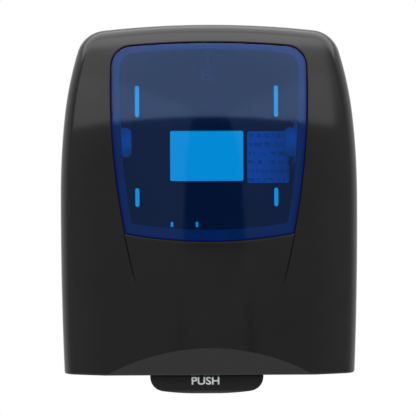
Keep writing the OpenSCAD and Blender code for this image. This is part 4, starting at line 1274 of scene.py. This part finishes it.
@dataclass
class Mechanism:
    """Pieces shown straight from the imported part, each with the finish of its material slot."""

    rounded: tuple[str, ...] = ("push_lever",)
    soft_edge_mm: float = 0.7
    soft_edge_steps: int = 3
    sharp_angle: float = 50.0
    flat_angle: float = 0.5
    weld_mm: float = 0.001
    nodes: dict[str, Object] = field(default_factory=lambda: dict(frame["nodes"]))

    def slots(self) -> dict[str, str]:
        """Material slot of each node, by the node's name."""
        return {s["node"]: s["material_slot"] for s in frame["record"]["subparts"]}

    def build(self) -> list[Object]:
        """Dresses every node that still shows.

        Returns:
            The dressed nodes.
        """
        slots = self.slots()
        made = []
        for name, obj in self.nodes.items():
            if obj.hide_render:
                continue
            BY_SLOT[slots[name]].dress(obj)
            smooth(obj, Edge.TURNED)
            if name in self.rounded:
                self.soften(obj)
            made.append(obj)
        return made

    def soften(self, obj: Object) -> None:
        """Rounds the sharp edges of a moulded node.

        Args:
            obj: the node.
        """
        weld = obj.modifiers.new("weld", "WELD")
        weld.merge_threshold = self.weld_mm * MM
        plain = obj.modifiers.new("plain", "DECIMATE")
        plain.decimate_type, plain.angle_limit = "DISSOLVE", math.radians(self.flat_angle)
        edge = obj.modifiers.new("edge", "BEVEL")
        edge.width, edge.segments = self.soft_edge_mm * MM, self.soft_edge_steps
        edge.limit_method, edge.angle_limit = "ANGLE", math.radians(self.sharp_angle)
        edge.harden_normals = True


@dataclass
class Lamp:
    """A soft box: its size, place, aim and brightness, in metres and linear light."""

    name: str
    size: Point
    place: Point3
    aim: Point3
    glow: float
    mirrored: bool = True
    roll: float = 0.0
    shape: LampShape = LampShape.PANEL

    def build(self) -> Object:
        """Builds the lamp.

        Returns:
            The lamp.
        """
        data = bpy.data.lights.new(self.name, "AREA")
        data.shape, data.size, data.size_y = self.shape.value, self.size[0], self.size[1]
        data.energy = self.glow * math.pi * self.size[0] * self.size[1] * self.shape.fill()
        lamp = link(bpy.data.objects.new(self.name, data))
        lamp.visible_camera, lamp.visible_glossy = False, self.mirrored
        aim_at(lamp, self.place, self.aim, self.roll)
        return lamp


@dataclass
class Studio:
    """Camera, lamps, floor and white surround of the photograph, in metres, lens in millimetres."""

    camera_place: Point3 = (-0.0225, -1.735, -0.07275)
    camera_aim: Point3 = (-0.008, -0.195, -0.07275)
    roll: float = -0.22
    lens: float = 121.15
    sensor: float = 36.0
    shift_x: float = 0.0146
    floor_z: float = -0.78
    floor_size: float = 2.6
    # White that the camera sees round the object, and the dimmer painted shade of it that it sees behind
    # the window
    surround: float = 1.0
    behind: float = 0.82
    # Light of the wall behind and of the room in front, and the directions where each is full
    walls: float = 1.0
    walls_y: float = 0.25
    shade: float = 0.02
    shade_y: float = -0.8
    # The front and overhead boxes make the bright band at the top, the side and low ones the sheen
    # below it, and the fill lights the inside without showing in the gloss
    lamps: tuple[Lamp, ...] = (
        Lamp("front_softbox", (3.14, 1.23), (-0.09, -1.4735, 1.0336), (-0.09, -0.4815, 0.9086), 0.95),
        Lamp(
            "overhead_softbox", (3.9, 2.0), (0.0, -0.46, 1.23), (0.0, -0.46, 0.0), 2.0,
            shape=LampShape.OVAL,
        ),
        Lamp("front_fill", (0.7, 0.5), (0.0, -1.8, 0.3), (0.0, -0.2, -0.05), 12.0, mirrored=False),
        Lamp("left_softbox", (1.265, 1.45), (-0.76, -1.41, 0.0), (-0.184, -0.593, 0.0), 0.17, roll=-10.0),
        Lamp("right_softbox", (1.22, 1.45), (0.87, -1.34, 0.0), (0.294, -0.523, 0.0), 0.155, roll=16.0),
        Lamp("low_softbox", (0.74, 0.58), (0.085, -1.82, -0.45), (0.085, -0.2, -0.45), 0.17),
    )

    def build(self) -> None:
        """Builds the studio."""
        self.build_camera()
        for lamp in self.lamps:
            lamp.build()
        self.build_floor()
        self.build_world()

    def build_camera(self) -> None:
        """Sets the camera at the photograph's angle."""
        data = bpy.data.cameras.new("camera")
        data.lens, data.sensor_width, data.shift_x = self.lens, self.sensor, self.shift_x
        camera = link(bpy.data.objects.new("camera", data))
        aim_at(camera, self.camera_place, self.camera_aim, self.roll)
        bpy.context.scene.camera = camera

    def build_floor(self) -> None:
        """Lays a plain pale floor below the dispenser."""
        half, z = self.floor_size / 2 / MM, self.floor_z / MM
        corners = [(-half, -half, z), (half, -half, z), (half, half, z), (-half, half, z)]
        floor = mesh_object("floor", corners, [(0, 1, 2, 3)])
        floor.data.materials.append(FLOOR_PAPER.material())

    def build_world(self) -> None:
        """Surrounds the scene.

        The camera sees white, dimmed by a painted shade where it looks through the window, in place of a
        shaded wall behind it.
        The light comes from a pale wall behind and a dim room in front.
        """
        world = bpy.data.worlds.new("surround")
        world.use_nodes = True
        tree = world.node_tree
        tree.nodes.clear()
        path = add_node(tree, "LightPath").outputs
        place = add_node(tree, "TexCoord").outputs["Generated"]
        depth = {"Value": add_node(tree, "SeparateXYZ", None, {0: place}).outputs["Y"]}
        room = {
            "From Min": self.shade_y,
            "From Max": self.walls_y,
            "To Min": self.shade,
            "To Max": self.walls,
        }
        lit = {"Strength": add_node(tree, "MapRange", room, depth).outputs[0]}
        # Painted shade: the white that the camera sees through the panes is dimmed
        panes = {"Value": path["Transparent Depth"]}
        white = {"To Min": self.surround, "To Max": self.behind}
        shaded = {"Strength": add_node(tree, "MapRange", white, panes).outputs[0]}
        seen = add_node(tree, "Background", {"Color": linear(WHITE)}, shaded)
        light = add_node(tree, "Background", {"Color": linear(WHITE)}, lit)
        rays = {0: path["Is Camera Ray"], 1: path["Is Transmission Ray"]}
        direct = add_node(tree, "Math", None, rays, operation="MAXIMUM")
        layers = {0: direct.outputs[0], 1: light.outputs[0], 2: seen.outputs[0]}
        both = add_node(tree, "MixShader", None, layers)
        add_node(tree, "OutputWorld", None, {"Surface": both.outputs[0]})
        bpy.context.scene.world = world
        bpy.context.scene.view_settings.view_transform = "Standard"


def main() -> None:
    """Builds the cover, the legend, the mechanism and the studio."""
    logging.basicConfig(level=logging.INFO, format="%(name)s: %(message)s")
    cover = CoverShell()
    pieces = [cover.build(), cover.window.build_pane(), cover.window.build_tape()]
    pieces += HingeEars(cover.hinge).build()
    pieces.append(PaddleLegend().build())
    pieces += Mechanism().build()
    for piece in pieces:
        LOG.info("%s: %d faces on %s", piece.name, len(piece.data.polygons), body_of(piece))
    Studio().build()


if __name__ == "__main__":
    main()
